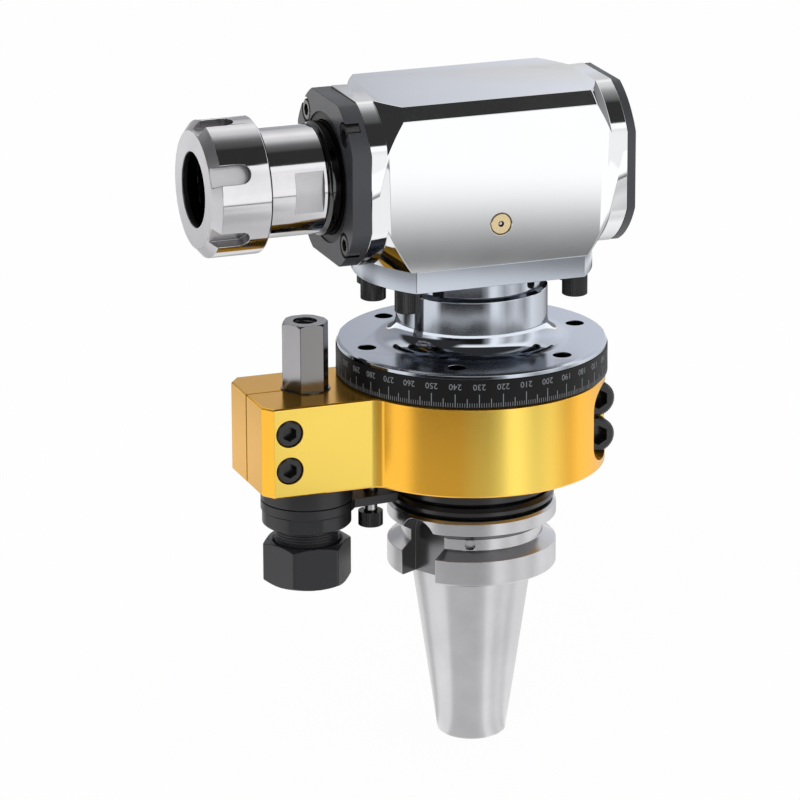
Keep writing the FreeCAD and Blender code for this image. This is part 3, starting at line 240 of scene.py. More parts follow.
def grain_group():
    """A fine speckle, and a slow change of gloss over the surface."""
    group, source, result = new_group(
        "surface_grain",
        [("Vector", "NodeSocketVector", None), ("Fine", "NodeSocketFloat", 2500.0),
         ("Broad", "NodeSocketFloat", 40.0)],
        [("Speckle", "NodeSocketFloat"), ("Gloss", "NodeSocketFloat")])
    speckle = noise(group, source.outputs["Vector"], source.outputs["Fine"], detail=2.0)
    gloss = noise(group, source.outputs["Vector"], source.outputs["Broad"], detail=5.0)
    group.links.new(speckle, result.inputs["Speckle"])
    group.links.new(gloss, result.inputs["Gloss"])
    return group


def zone_group():
    """1 between two heights on the vector's Z axis and nearer to that axis than a radius."""
    group, source, result = new_group(
        "zone_of_piece",
        [("Vector", "NodeSocketVector", None), ("Low", "NodeSocketFloat", 0.0),
         ("High", "NodeSocketFloat", 0.0), ("Radius", "NodeSocketFloat", 0.0)],
        [("Mask", "NodeSocketFloat")])
    x, y, z = split_vector(group, source.outputs["Vector"])
    near = math_node(group, "LESS_THAN", length_of(group, x, y), source.outputs["Radius"])
    above = math_node(group, "GREATER_THAN", z, source.outputs["Low"])
    below = math_node(group, "LESS_THAN", z, source.outputs["High"])
    mask = math_node(group, "MULTIPLY", near, math_node(group, "MULTIPLY", above, below))
    group.links.new(mask, result.inputs["Mask"])
    return group


LATHE = turning_group()
GRAIN = grain_group()
ZONE = zone_group()
BUMP_STRENGTH = 0.6
BUMP_DEPTH = 0.01 * MM


def place_vector(tree, axis, centre_z):
    """Object coordinates, turned so that a part's own axis is Z."""
    coords = tree.nodes.new("ShaderNodeTexCoord")
    mapping = tree.nodes.new("ShaderNodeMapping")
    mapping.vector_type = "TEXTURE"
    mapping.inputs["Location"].default_value = (0, 0, centre_z)
    if axis == "X":
        mapping.inputs["Rotation"].default_value = (0, math.pi / 2, 0)
    tree.links.new(coords.outputs["Object"], mapping.inputs["Vector"])
    return mapping.outputs["Vector"]


def zone_mask(tree, vector, zones):
    """1 in the stretches of a piece that zones pick, each given by low, high and radius."""
    mask = None
    for low, high, radius in zones:
        zone = tree.nodes.new("ShaderNodeGroup")
        zone.node_tree = ZONE
        zone.inputs["Low"].default_value = low
        zone.inputs["High"].default_value = high
        zone.inputs["Radius"].default_value = radius
        tree.links.new(vector, zone.inputs["Vector"])
        one = zone.outputs["Mask"]
        mask = math_node(tree, "MAXIMUM", mask, one) if mask else one
    return mask


def mixed(tree, factor, first, second, blend="MIX"):
    """A colour between two, each a socket or a plain colour."""
    node = tree.nodes.new("ShaderNodeMix")
    node.data_type = "RGBA"
    node.blend_type = blend
    tree.links.new(factor, node.inputs["Factor"])
    for socket, value in ((node.inputs[6], first), (node.inputs[7], second)):
        if isinstance(value, tuple):
            socket.default_value = (*value, 1)
        else:
            tree.links.new(value, socket)
    return node.outputs[2]


def front_mask(tree):
    """1 where a surface faces the front squarely. Finishes paint a lit or shaded tone there."""
    coords = tree.nodes.new("ShaderNodeTexCoord")
    y = split_vector(tree, coords.outputs["Normal"])[1]
    return ramp(tree, math_node(tree, "MULTIPLY", y, -1.0), [(0.90, 0.0), (0.99, 1.0)])


def finish(name, color, metallic, rough, spread, lathe=0.0, speckle=0.0, axis="Z", centre_z=0.0,
           rings=900.0, fine=2500.0, dark=0.85, specular=0.5, zones=(), zone_rough=0.42,
           painted_shade_zones=(), painted_shade_tone=(0.09, 0.09, 0.093), front=None):
    """A metal or paint whose gloss, tone and relief vary a little over the surface. Its tone can
    also carry painted light: a lit or shaded tone on faces turned to the front, and painted shade
    in zones.
    """
    material = bpy.data.materials.new(name)
    material.use_nodes = True
    tree = material.node_tree
    shader = tree.nodes["Principled BSDF"]
    shader.inputs["Metallic"].default_value = metallic
    shader.inputs["Specular IOR Level"].default_value = specular
    vector = place_vector(tree, axis, centre_z)
    grain = tree.nodes.new("ShaderNodeGroup")
    grain.node_tree = GRAIN
    grain.inputs["Fine"].default_value = fine
    tree.links.new(vector, grain.inputs["Vector"])
    marks = tree.nodes.new("ShaderNodeGroup")
    marks.node_tree = LATHE
    marks.inputs["Rings"].default_value = rings
    tree.links.new(vector, marks.inputs["Vector"])
    tone = ramp(tree, grain.outputs["Gloss"], [
        (0.3, tuple(part * dark for part in color)), (0.7, color)])
    # Painted light: faces turned squarely to the front take a second tone, a lit or shaded copy of
    # the colour.
    if front:
        tone = mixed(tree, front_mask(tree), tone, front)
    # Painted shade: zones take a darker tone where bores and recesses lie in shade.
    if painted_shade_zones:
        tone = mixed(tree, zone_mask(tree, vector, painted_shade_zones), tone, painted_shade_tone)
    tree.links.new(tone, shader.inputs["Base Color"])
    low = math_node(tree, "MULTIPLY", grain.outputs["Gloss"], spread)
    gloss = math_node(tree, "ADD", low, rough - spread / 2, clamp=True)
    if zones:
        satin = math_node(tree, "MULTIPLY", zone_mask(tree, vector, zones), zone_rough - rough)
        gloss = math_node(tree, "ADD", gloss, satin)
    tree.links.new(gloss, shader.inputs["Roughness"])
    rings_part = math_node(tree, "MULTIPLY", marks.outputs["Mark"], lathe)
    speckle_part = math_node(tree, "MULTIPLY", grain.outputs["Speckle"], speckle)
    bump = tree.nodes.new("ShaderNodeBump")
    bump.inputs["Strength"].default_value = BUMP_STRENGTH
    bump.inputs["Distance"].default_value = BUMP_DEPTH
    tree.links.new(math_node(tree, "ADD", rings_part, speckle_part), bump.inputs["Height"])
    tree.links.new(bump.outputs["Normal"], shader.inputs["Normal"])
    return material


# Finishes. A zone is a low end, a high end and a radius on the part's own axis. ANY_RADIUS
# takes in the whole stretch.

ANY_RADIUS = 1.0
NUT_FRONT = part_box("collet_nut")[0][0]
NUT_ZONES = [(NUT_FRONT - 1 * MM, NUT_FRONT + 3.3 * MM, ANY_RADIUS),
             (NUT_FRONT, NUT_FRONT + 20 * MM, 22.4 * MM)]
# Painted shade: the nut's bore is darkened in its colour.
NUT_BORE_PAINTED_SHADE = [(NUT_FRONT + 0.6 * MM, NUT_FRONT + 14 * MM, 19 * MM)]
SPINDLE_ZONES = [(-74.7 * MM, -63.7 * MM, 19.93 * MM)]
# Painted shade: the spindle's collar by the front plate and its collet socket are darkened in
# their colour.
SPINDLE_PAINTED_SHADE = [(-62.3 * MM, -50 * MM, ANY_RADIUS), (-101 * MM, -20 * MM, 17.6 * MM)]
FLANGE_ZONES = [(89.2 * MM, 90 * MM, ANY_RADIUS)]
# Painted shade: the shank's keyway recesses are darkened in their colour.
KEYWAYS_PAINTED_SHADE = [(2 * MM, 27 * MM, 24.3 * MM)]
CHROME = finish("hard_chrome", (0.73, 0.74, 0.75), 1.0, 0.05, 0.03, speckle=0.15, dark=0.98)
FLANGE_CHROME = finish("turned_chrome", (0.56, 0.60, 0.67), 1.0, 0.07, 0.03, lathe=0.03,
                       rings=1600.0, dark=0.97, zones=FLANGE_ZONES, zone_rough=0.2)
BLACK_PLATE = finish("black_plate", (0.044, 0.046, 0.053), 0.0, 0.40, 0.12, speckle=1.0)
DIAL_BLACK = finish("dial_black", (0.006, 0.006, 0.007), 0.0, 0.5, 0.1, lathe=0.8, specular=0.2)
BLACK_OXIDE = finish("black_oxide", (0.016, 0.0165, 0.0195), 0.0, 0.36, 0.2, speckle=0.8)
SCREW_BLACK = finish("screw_black", (0.010, 0.010, 0.011), 0.0, 0.22, 0.1, specular=0.6)
ENGRAVING = finish("engraving", (0.20, 0.21, 0.225), 0.0, 0.6, 0.1)
SHANK = finish("ground_shank", (0.61, 0.605, 0.62), 1.0, 0.22, 0.08, lathe=1.0, rings=1400.0,
               painted_shade_zones=KEYWAYS_PAINTED_SHADE, painted_shade_tone=(0.2, 0.2, 0.205))
POLISHED = finish("polished_steel", (0.68, 0.67, 0.69), 1.0, 0.07, 0.04, lathe=0.25, axis="X",
                  centre_z=AXIS_Z, zones=SPINDLE_ZONES, painted_shade_zones=SPINDLE_PAINTED_SHADE)
NUT_STEEL = finish("nut_steel", (0.68, 0.67, 0.69), 1.0, 0.07, 0.04, lathe=0.25, axis="X",
                   centre_z=AXIS_Z, zones=NUT_ZONES, painted_shade_zones=NUT_BORE_PAINTED_SHADE)
BRIGHT = finish("bearing_steel", (0.60, 0.60, 0.61), 1.0, 0.18, 0.08)
GEAR_STEEL = finish("gear_steel", (0.40, 0.40, 0.41), 1.0, 0.3, 0.1)
# Painted highlight: the gold's faces turned to the front take a brighter, yellower tone.
GOLD = finish("gold_anodised", (1.0, 0.52, 0.055), 0.93, 0.2, 0.05, speckle=0.5, fine=1800.0,
              dark=0.97, front=(1.0, 0.72, 0.14))
# Painted shade: the rod's faces turned to the front take a darker tone.
ROD_STEEL = finish("rod_steel", (0.42, 0.41, 0.42), 1.0, 0.16, 0.1, speckle=2.5, fine=2600.0,
                   front=(0.24, 0.235, 0.23))
# Painted shade: steel for parts deep in the nut's bore, given a near-black colour.
BORE_PAINTED_SHADE_STEEL = finish("bore_steel_painted_shade", (0.09, 0.09, 0.093), 1.0, 0.3, 0.1)
BRASS = finish("oiler_brass", (0.75, 0.60, 0.36), 1.0, 0.25, 0.1)
SEAL = finish("seal_rubber", (0.016, 0.016, 0.018), 0.0, 0.5, 0.1, specular=0.4)
SPRING = finish("spring_steel", (0.3, 0.3, 0.31), 1.0, 0.35, 0.1)

SLOT_FINISH = {
    "chrome_steel": CHROME,
    "black_plate": BLACK_PLATE,
    "black_steel": BLACK_OXIDE,
    "shank_steel": SHANK,
    "polished_steel": POLISHED,
    "bearing_steel": BRIGHT,
    "gear_steel": GEAR_STEEL,
    "gold_aluminium": GOLD,
    "rod_steel": ROD_STEEL,
    "oiler_brass": BRASS,
    "seal_rubber": SEAL,
    "spring_steel": SPRING,
}
# The nut's pressure ring takes the near-black bore steel, as painted shade.
NODE_FINISH = {"degree_ring": DIAL_BLACK, "neck_flange": FLANGE_CHROME, "collet_nut": NUT_STEEL,
               "nut_pressure_ring": BORE_PAINTED_SHADE_STEEL, "lower_seal_cover": SCREW_BLACK,
               "drive_collar": SCREW_BLACK}


def set_finish(piece, material):
    piece.data.materials.clear()
    piece.data.materials.append(material)


def dress_nodes():
    """Give every CAD node its finish."""
    slots = {item["node"]: item["material_slot"] for item in frame["record"]["subparts"]}
    for name, node in NODES.items():
        set_finish(node, NODE_FINISH.get(name, SLOT_FINISH[slots[name]]))


# Pieces with softly broken edges: body, slot, finish and width of the break in millimetres

SOFT = {
    "housing": ("head", "chrome_steel", CHROME, 0.25),
    "front_plate": ("head", "black_plate", BLACK_PLATE, 0.2),
    "rear_cover": ("head", "black_plate", BLACK_PLATE, 0.2),
    "neck_flange": ("head", "chrome_steel", FLANGE_CHROME, 0.2),
    "degree_ring": ("head", "black_plate", DIAL_BLACK, 0.12),
    "clamp_ring": ("clamp", "gold_aluminium", GOLD, 0.2),
    "locating_pin": ("clamp", "rod_steel", ROD_STEEL, 0.2),
    "collet_nut": ("nut", "polished_steel", NUT_STEEL, 0.2),
    "output_spindle": ("output", "polished_steel", POLISHED, 0.12),
    "input_shank": ("shank", "shank_steel", SHANK, 0.2),
    "release_sleeve": ("release", "black_steel", BLACK_OXIDE, 0.12),
    "lock_arm": ("release", "black_steel", BLACK_OXIDE, 0.12),
    "ring_nut": ("release", "black_steel", BLACK_OXIDE, 0.12),
    "cap_nut": ("release", "black_steel", BLACK_OXIDE, 0.2),
}

# Millimetres from the middle plane. A flat end with holes is parted there, through its holes,
# so that each of its faces has one plain outline.
PARTED = {
    "front_plate": (-PLATE_SCREW_OFFSET, 0, PLATE_SCREW_OFFSET),
    "rear_cover": (-PLATE_SCREW_OFFSET, PLATE_SCREW_OFFSET),
    "locating_pin": (0,),
}

# Where two edges lie closer together than twice the bevel, they stay sharp.
NARROW = {
    "front_plate": lambda x, y, z: math.hypot(y, z - AXIS_Z) < 24.6 * MM,
    "rear_cover": lambda x, y, z: 32.2 * MM < math.hypot(y, z - AXIS_Z) < 33 * MM,
    "locating_pin": lambda x, y, z: abs(z - PIN_SHOULDER_Z) < 0.01 * MM,
}

# Degrees between the faces of a sharp and of a flat edge, and metres between doubled vertices
SHARP = 28
FLAT = 0.2
SAME_PLACE = 1e-6


def soften(name, body, slot, material, width):
    """Stand a copy with broken edges in the place of a CAD node."""
    node = NODES[name]
    piece = node.copy()
    piece.data = node.data.copy()
    piece.name = piece.data.name = name + "_soft"
    bpy.context.scene.collection.objects.link(piece)
    pick(piece)
    bpy.ops.mesh.customdata_custom_splitnormals_clear()
    edit(piece, lambda vertex: True)
    bpy.ops.mesh.remove_doubles(threshold=SAME_PLACE)
    for place in PARTED.get(name, ()):
        bpy.ops.mesh.select_all(action="SELECT")
        bpy.ops.mesh.bisect(plane_co=(0, place * MM, 0), plane_no=(0, 1, 0))
        bpy.ops.mesh.mark_seam()
    bpy.ops.mesh.select_all(action="SELECT")
    bpy.ops.mesh.dissolve_limited(angle_limit=math.radians(FLAT), delimit={"NORMAL", "SEAM"})
    leave_edit()
    smooth(piece, SHARP)
    narrow = NARROW.get(name, lambda x, y, z: False)

    def broken(edge):
        middle = (edge.verts[0].co + edge.verts[1].co) / 2
        return edge.calc_face_angle(0) > math.radians(SHARP) and not narrow(*middle)

    edit(piece, broken, "EDGE")
    bpy.ops.transform.edge_bevelweight(value=1)
    leave_edit()
    apply_modifier(piece, "BEVEL", width=width * MM, segments=2, limit_method="WEIGHT",
                   harden_normals=True, use_clamp_overlap=False)
    settle(piece, body, material, name)


def soften_nodes():
    for name, choice in SOFT.items():
        soften(name, *choice)


def settle(piece, body, material, node=None):
    """Ride on a body, take a finish and stand for a CAD node."""
    set_finish(piece, material)
    if node:
        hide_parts(node)
    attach(piece, body)


# Socket head screws. The first three shares are of the head's radius or height, and the rest
# are of the thread's radius.

KNURLS = 44
KNURL_VALLEY = 0.965
RIM_IN = 0.88
HEAD_BELOW_RIM = 0.97
RIM_HIGH = 0.12
SOCKET_DEEP = 0.95
SOCKET_R = 0.96
CORE_R = 0.97
SCREW_SHARP = 25


def cap_screw(name, thread_r, head_r, head_high, length):
    """A socket head screw with a knurled head. Its seat is at the origin and its head is above."""
    piece = cylinder(name, head_r, 0, head_high, sides=2 * KNURLS)
    step = math.pi / KNURLS

    def in_valley(vertex):
        turn = round(math.atan2(vertex.co.y, vertex.co.x) / step)
        return turn % 2 == 0

    edit(piece, in_valley)
    bpy.ops.transform.resize(value=(KNURL_VALLEY, KNURL_VALLEY, 1), center_override=(0, 0, 0))
    leave_edit()
    edit(piece, lambda face: face.normal.z > 0.9, "FACE")
    rise = (0, 0, thread_r * RIM_HIGH)
    bpy.ops.mesh.extrude_region_move(TRANSFORM_OT_translate={"value": rise})
    bpy.ops.transform.resize(value=(RIM_IN, RIM_IN, 1), center_override=(0, 0, 0))
    leave_edit()
    socket_low = head_high - thread_r * SOCKET_DEEP
    socket = cylinder("socket", thread_r * SOCKET_R, socket_low, head_high * 2, sides=6)
    cut(piece, socket)
    shaft = cylinder("shaft", thread_r * CORE_R, -length, 0.1 * MM, sides=32)
    pick(piece, shaft)
    bpy.ops.object.join()
    smooth(piece, SCREW_SHARP)
    return piece


def screw_sets():
    """The visible socket screws, each set in place of its plain CAD node."""
    corner = PLATE_SCREW_OFFSET * MM
    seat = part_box("front_plate")[0][0] + 5.2 * MM
    circle = 38.5 * MM
    around = [math.radians(angle) for angle in (0, 32, -32, 180, 148, -148)]
    base = [(circle * math.cos(turn), circle * math.sin(turn), BASE_LOW) for turn in around]
    plate = [(seat, i * corner, AXIS_Z + j * corner) for i in (-1, 1) for j in (-1, 1)]
    levels = [52.5 * MM, 66.5 * MM]
    arm = [(-78.7 * MM, -16 * MM, z) for z in levels]
    ring = [(42 * MM, -13.6 * MM, z) for z in levels]
    guide = [(GUIDE_X, 0, 26.3 * MM)]
    # Node, body, thread radius, head radius, head height, length, places and the head's side
    sets = [
        ("base_screws", "head", 3, 4.7, 8.9, 12.9, base, (0, 0, -1)),
        ("arm_clamp_screws", "clamp", 3, 4.86, 5.82, 30, arm, (0, -1, 0)),
        ("ring_clamp_screws", "clamp", 4, 6.48, 8, 27.2, ring, (0, -1, 0)),
        ("front_plate_screws", "head", 2.5, 4.05, 5, 13, plate, (-1, 0, 0)),
        ("guide_screw", "clamp", 2.5, 4.6, 5.6, 30, guide, (0, 0, -1)),
    ]
    for node, body, thread_r, head_r, head_high, length, places, direction in sets:
        screw = cap_screw(node + "_knurled", thread_r * MM, head_r * MM,
                          head_high * MM * HEAD_BELOW_RIM, length * MM)
        group = copies(screw, [at(*place, direction) for place in places])
        settle(group, body, SCREW_BLACK, node)
    shaft = cylinder("guide_screw_shaft", 2.56 * MM, 26.5 * MM, 42 * MM, sides=48)
    shaft.data.transform(Matrix.Translation((GUIDE_X, 0, 0)))
    smooth(shaft)
    settle(shaft, "clamp", BRIGHT)


# Screw threads. A ridge's foot is a share of the pitch and sunk by its root, and its crest is a
# share of the foot.

RIDGE_ROOT = 0.1 * MM
RIDGE_WIDE = 0.92
RIDGE_CREST = 0.15
RIDGE_SHARP = 20
STEPS_A_TURN = 48


def thread_ridge(name, radius, depth, pitch, low, high, inside=False):
    """A helical ridge of triangular section, standing out from a cylinder."""
    sign = -1 if inside else 1
    base = radius - sign * RIDGE_ROOT
    crest = radius + sign * depth
    deselect()
    bpy.ops.mesh.primitive_plane_add(size=1, rotation=(math.pi / 2, 0, 0))
    piece = new_piece(name)
    bpy.ops.object.transform_apply(rotation=True)
    edit(piece, lambda vertex: True)
    bpy.ops.transform.resize(value=(abs(crest - base), 1, pitch * RIDGE_WIDE))
    bpy.ops.transform.translate(value=((base + crest) / 2, 0, low + pitch / 2))
    leave_edit()
    edit(piece, lambda vertex: abs(vertex.co.x - crest) < SAME_PLACE)
    middle = (crest, 0, low + pitch / 2)
    bpy.ops.transform.resize(value=(1, 1, RIDGE_CREST), center_override=middle)
    bpy.ops.mesh.select_all(action="SELECT")
    bpy.ops.mesh.delete(type="ONLY_FACE")
    leave_edit()
    turns = (high - low - pitch) / pitch
    steps = round(STEPS_A_TURN * turns)
    apply_modifier(piece, "SCREW", angle=math.tau * turns, screw_offset=pitch * turns,
                   steps=steps, render_steps=steps, use_merge_vertices=True)
    edit(piece, lambda edge: len(edge.link_faces) == 1, "EDGE")
    bpy.ops.mesh.edge_face_add()
    bpy.ops.mesh.select_all(action="SELECT")
    bpy.ops.mesh.normals_make_consistent(inside=False)
    leave_edit()
    smooth(piece, RIDGE_SHARP)
    return piece


def threads():
    sleeve = thread_ridge("sleeve_thread", 11.75 * MM, 0.22 * MM, 1.0 * MM, 17.2 * MM, 24.8 * MM)
    sleeve.data.transform(Matrix.Translation((PIN_X, 0, 0)))
    settle(sleeve, "release", BLACK_OXIDE)
    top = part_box("locating_pin")[1][2]
    eye = thread_ridge("pin_thread", 4.4 * MM, 0.35 * MM, 1.25 * MM, top - 15 * MM, top - 0.5 * MM,
                       inside=True)
    eye.data.transform(Matrix.Translation((PIN_X, 0, 0)))
    settle(eye, "clamp", ROD_STEEL)
    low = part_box("input_shank")[0][2]
    stud = thread_ridge("pull_stud_thread", 7.0 * MM, 0.7 * MM, 2.0 * MM, low + 1 * MM,
                        low + 28 * MM, inside=True)
    settle(stud, "shank", SHANK)


# The engraved scale of the degree ring. Its zero stands at an angle from the X axis.

SCALE_ZERO = 122.4
TICK_WIDE = 0.3 * MM
SHORT_TICK_SHARE = 0.6
TICK_LIFT = 0.5 * MM
TICK_HIGH = {10: 4.9 * MM, 5: 3.2 * MM, 1: 1.6 * MM}
DIGIT_HIGH = 2.3 * MM
FONT_SIZE = DIGIT_HIGH * 1.38
DIGIT_MIDDLE = 8.2 * MM
ENGRAVED = 0.03 * MM


def scale_ticks():
    members = []
    for step, high in TICK_HIGH.items():
        deselect()
        bpy.ops.mesh.primitive_cube_add(size=1)
        tick = new_piece(f"tick_{step}")
        wide = TICK_WIDE if step > 1 else TICK_WIDE * SHORT_TICK_SHARE
        tick.data.transform(Matrix.Diagonal((2 * ENGRAVED, wide, high, 1)))
        middle_z = RING_LOW + TICK_LIFT + high / 2
        tick.data.transform(Matrix.Translation((RING_R, 0, middle_z)))
        places = []
        for reading in range(360):
            longest = max(s for s in TICK_HIGH if reading % s == 0)
            if longest == step:
                turn = math.radians(SCALE_ZERO - reading)
                places.append(Matrix.Rotation(turn, 4, "Z"))
        members.append(copies(tick, places))
    pick(*members)
    bpy.ops.object.join()
    settle(new_piece("degree_ticks"), "head", ENGRAVING)


def scale_numbers():
    """Numbers every ten degrees. They stand on their heads, as on a head hung the other way."""
    members = []
    for reading in range(0, 360, 10):
        deselect()
        bpy.ops.object.text_add()
        text = bpy.context.active_object
        text.data.body = str(reading)
        text.data.size = FONT_SIZE
        text.data.align_x = "CENTER"
        text.data.align_y = "CENTER"
        text.data.extrude = ENGRAVED
        text.data.resolution_u = 3
        bpy.ops.object.convert(target="MESH")
        number = bpy.context.active_object
        centre = math.radians(SCALE_ZERO - reading)
        for vertex in number.data.vertices:
            across, along, out = vertex.co
            turn = centre - across / RING_R
            radius = RING_R + out
            vertex.co = (radius * math.cos(turn), radius * math.sin(turn),
                         RING_LOW + DIGIT_MIDDLE - along)
        members.append(number)
    pick(*members)
    bpy.ops.object.join()
    settle(new_piece("degree_numbers"), "head", ENGRAVING)


# Studio

FLOOR_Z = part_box("input_shank")[0][2]
FLOOR_HALF = 6.0


def mix_shader(tree, factor, first, second):
    node = tree.nodes.new("ShaderNodeMixShader")
    tree.links.new(factor, node.inputs[0])
    tree.links.new(first, node.inputs[1])
    tree.links.new(second, node.inputs[2])
    return node.outputs[0]


def emission(tree, color, power=1.0):
    node = tree.nodes.new("ShaderNodeEmission")
    if isinstance(power, float):
        node.inputs["Strength"].default_value = power
    else:
        tree.links.new(power, node.inputs["Strength"])
    if isinstance(color, (int, float)):
        node.inputs["Color"].default_value = (color, color, color, 1)
    else:
        tree.links.new(color, node.inputs["Color"])
    return node.outputs[0]


# Brightness of the mirrored floor by distance in metres, its share of the tone by side, and
# that tone by angle in degrees, where 0 is the front and 90 the right

FLOOR_RADIAL = [(0.0, 0.95), (0.33, 0.90), (0.675, 0.90), (0.695, 0.20), (0.72, 0.22),
                (0.745, 0.35), (0.795, 0.70), (0.825, 0.90), (0.87, 1.05)]
FLOOR_SECTORS = [(-150, 0.55), (-140, 0.02), (-128, 0.02), (-116, 0.80), (-102, 0.90), (-76, 0.90),
                 (-66, 0.06), (-58, 0.01), (-6, 0.01), (4, 0.30), (10, 0.95), (17, 1.00),
                 (33, 0.42), (48, 0.75), (65, 0.40), (81, 0.95), (114, 0.65), (140, 0.20),
                 (160, 0.03)]
SECTOR_SHARE = [(0.0, 0.35), (0.18, 0.4), (0.24, 0.55), (0.33, 0.6), (0.42, 0.45), (0.53, 1.0),
                (0.66, 1.0), (0.668, 0.2), (0.69, 0.2), (0.705, 1.0), (0.76, 1.0),
                (0.85, 0.0)]
STUDIO_POWER = 1.3
INNER_DIM = 0.62
SECOND_MIRROR = 1.5
FLOOR_GREY = (0.85, 0.85, 0.85, 1)
FLOOR_GLOW = 0.96
ROOM_GREY = (0.8, 0.8, 0.8, 1)
WING_GREY = (0.03, 0.03, 0.03)


def sector_tone(tree, x, y):
    """How bright the studio is on each side, as seen from above."""
    turn = math_node(tree, "ARCTAN2", x, math_node(tree, "MULTIPLY", y, -1.0))
    around = math_node(tree, "MULTIPLY_ADD", turn, 1 / math.tau)
    around.node.inputs[2].default_value = 0.5
    return ramp(tree, around, [(0.5 + angle / 360, grey) for angle, grey in FLOOR_SECTORS])


def floor_tone(tree):
    """What mirrors see in the floor, by its distance and its side as seen from above."""
    coords = tree.nodes.new("ShaderNodeTexCoord")
    x, y, _ = split_vector(tree, coords.outputs["Object"])
    far = length_of(tree, x, y)
    radial = ramp(tree, far, FLOOR_RADIAL)
    share = ramp(tree, far, SECTOR_SHARE)
    return mixed(tree, share, radial, sector_tone(tree, x, y), "MULTIPLY")


def once_mirrored(tree, path):
    """The studio's power, which is less in what a mirror sees by way of another mirror."""
    deeper = math_node(tree, "GREATER_THAN", path.outputs["Glossy Depth"], SECOND_MIRROR)
    return math_node(tree, "SUBTRACT", STUDIO_POWER,
                     math_node(tree, "MULTIPLY", deeper, STUDIO_POWER * INNER_DIM))


def floor_material():
    """White to the eye. Mirrored, it has bright and dark stretches as a photographer's table."""
    material = bpy.data.materials.new("studio_floor")
    material.use_nodes = True
    tree = material.node_tree
    tree.nodes.remove(tree.nodes["Principled BSDF"])
    out = tree.nodes["Material Output"]
    matte = tree.nodes.new("ShaderNodeBsdfDiffuse")
    matte.inputs["Color"].default_value = FLOOR_GREY
    path = tree.nodes.new("ShaderNodeLightPath")
    seen = tree.nodes.new("ShaderNodeMixShader")
    seen.inputs[0].default_value = FLOOR_GLOW
    tree.links.new(matte.outputs[0], seen.inputs[1])
    tree.links.new(emission(tree, 1.0), seen.inputs[2])
    mirrored = emission(tree, floor_tone(tree), once_mirrored(tree, path))
    plain = mix_shader(tree, path.outputs["Is Camera Ray"], matte.outputs[0], seen.outputs[0])
    both = mix_shader(tree, path.outputs["Is Glossy Ray"], plain, mirrored)
    tree.links.new(both, out.inputs["Surface"])
    return material


def add_floor():
    deselect()
    bpy.ops.mesh.primitive_plane_add(size=2 * FLOOR_HALF, location=(0, 0, FLOOR_Z))
    floor = new_piece("studio_floor")
    bpy.ops.object.transform_apply(location=True)
    floor.data.materials.append(floor_material())


def darkened_left(tree, x, z, color):
    """A dark wing on the left, above the height of the table."""
    beside = ramp(tree, math_node(tree, "MULTIPLY", x, -1.0), [(0.45, 0.0), (0.6, 1.0)])
    raised = ramp(tree, z, [(0.14, 0.0), (0.24, 1.0)])
    return mixed(tree, math_node(tree, "MULTIPLY", beside, raised), color, WING_GREY)


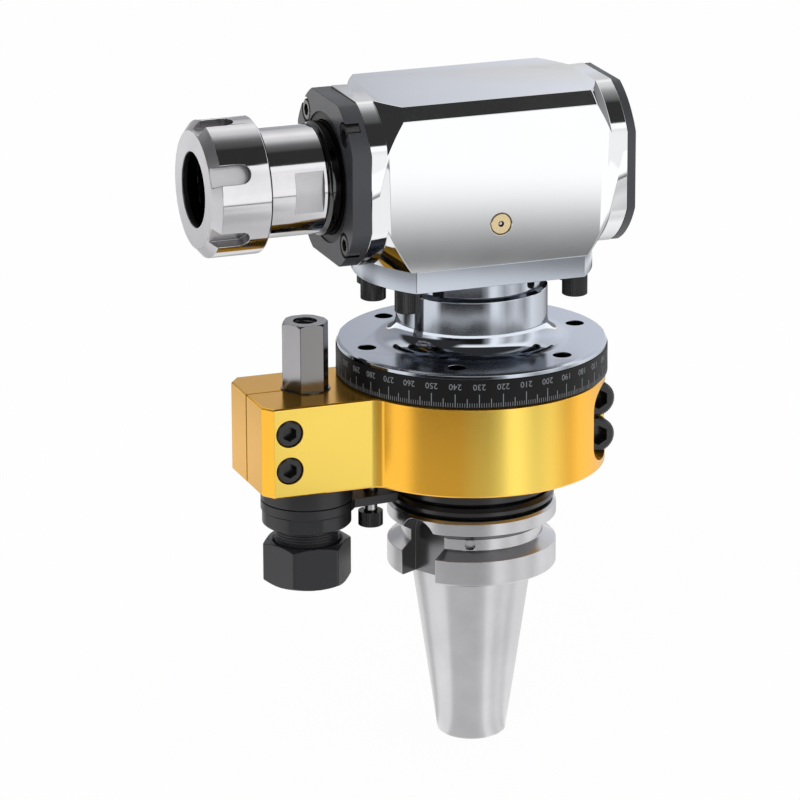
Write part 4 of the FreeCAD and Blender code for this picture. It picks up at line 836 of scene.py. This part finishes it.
def set_world():
    """White behind the object; mirrors see a studio with a bright front and a dark ceiling."""
    world = bpy.data.worlds.new("studio")
    bpy.context.scene.world = world
    world.use_nodes = True
    tree = world.node_tree
    tree.nodes.clear()
    out = tree.nodes.new("ShaderNodeOutputWorld")
    coords = tree.nodes.new("ShaderNodeTexCoord")
    x, y, z = split_vector(tree, coords.outputs["Generated"])
    front = ramp(tree, z, [(0.0, 1.05), (0.685, 1.05), (0.705, 0.03), (1.0, 0.03)])
    low_front = ramp(tree, z, [(0.45, 1.0), (0.60, 0.0)])
    front = mixed(tree, low_front, front, sector_tone(tree, x, y), "MULTIPLY")
    back = ramp(tree, z, [(0.0, 0.60), (0.25, (0.68, 0.70, 0.76)), (0.54, 0.60), (0.78, 0.95),
                          (0.90, 0.65), (0.97, 0.05), (1.0, 0.03)])
    leftward = ramp(tree, x, [(0.30, 0.50), (0.335, 0.80), (0.37, 1.0)])
    low_back = ramp(tree, z, [(0.38, 1.0), (0.50, 0.0)])
    back = mixed(tree, low_back, back, leftward, "MULTIPLY")
    side = math_node(tree, "MULTIPLY_ADD", y, 2.5)
    side.node.inputs[2].default_value = 0.5
    side.node.use_clamp = True
    seen = mixed(tree, side, front, back)
    path = tree.nodes.new("ShaderNodeLightPath")
    lit = tree.nodes.new("ShaderNodeBackground")
    lit.inputs["Color"].default_value = ROOM_GREY
    white = tree.nodes.new("ShaderNodeBackground")
    white.inputs["Color"].default_value = (1, 1, 1, 1)
    mirrored = tree.nodes.new("ShaderNodeBackground")
    tree.links.new(once_mirrored(tree, path), mirrored.inputs["Strength"])
    tree.links.new(darkened_left(tree, x, z, seen), mirrored.inputs["Color"])
    plain = mix_shader(tree, path.outputs["Is Camera Ray"], lit.outputs[0], white.outputs[0])
    both = mix_shader(tree, path.outputs["Is Glossy Ray"], plain, mirrored.outputs[0])
    tree.links.new(both, out.inputs["Surface"])


LAMP_TARGET = Vector((0, 0, 0.08))


def add_lamp(name, place, size, power):
    lamp = bpy.data.lights.new(name, "AREA")
    lamp.size = size
    lamp.energy = power
    holder = bpy.data.objects.new(name, lamp)
    bpy.context.scene.collection.objects.link(holder)
    holder.location = place
    aim = LAMP_TARGET - Vector(place)
    holder.rotation_euler = aim.to_track_quat("-Z", "Y").to_euler()
    holder.visible_glossy = False


def add_lamps():
    add_lamp("key", (-1.2, -1.6, 1.8), 1.2, 14)
    add_lamp("fill", (1.8, -1.0, 0.9), 1.2, 6)


def add_camera():
    """The photograph's viewpoint, found from the object's own edges."""
    azimuth = math.radians(-20.01)
    elevation = math.radians(17.30)
    roll = math.radians(-0.21)
    distance = 1894.48 * MM
    target = Vector((-24.92, 9.075, 64.56)) * MM
    back = Vector((math.sin(azimuth) * math.cos(elevation),
                   -math.cos(azimuth) * math.cos(elevation), math.sin(elevation)))
    right = Vector((math.cos(azimuth), math.sin(azimuth), 0))
    up = back.cross(right)
    right, up = (math.cos(roll) * right + math.sin(roll) * up,
                 math.cos(roll) * up - math.sin(roll) * right)
    lens = bpy.data.cameras.new("camera")
    lens.lens = 229.96
    lens.sensor_width = 36
    lens.clip_end = 20
    camera = bpy.data.objects.new("camera", lens)
    bpy.context.scene.collection.objects.link(camera)
    turn = Matrix((right, up, back)).transposed().to_4x4()
    camera.matrix_world = Matrix.Translation(target + back * distance) @ turn
    bpy.context.scene.camera = camera


dress_nodes()
soften_nodes()
screw_sets()
threads()
scale_ticks()
scale_numbers()
add_floor()
set_world()
add_lamps()
add_camera()
bpy.context.scene.view_settings.view_transform = "Standard"
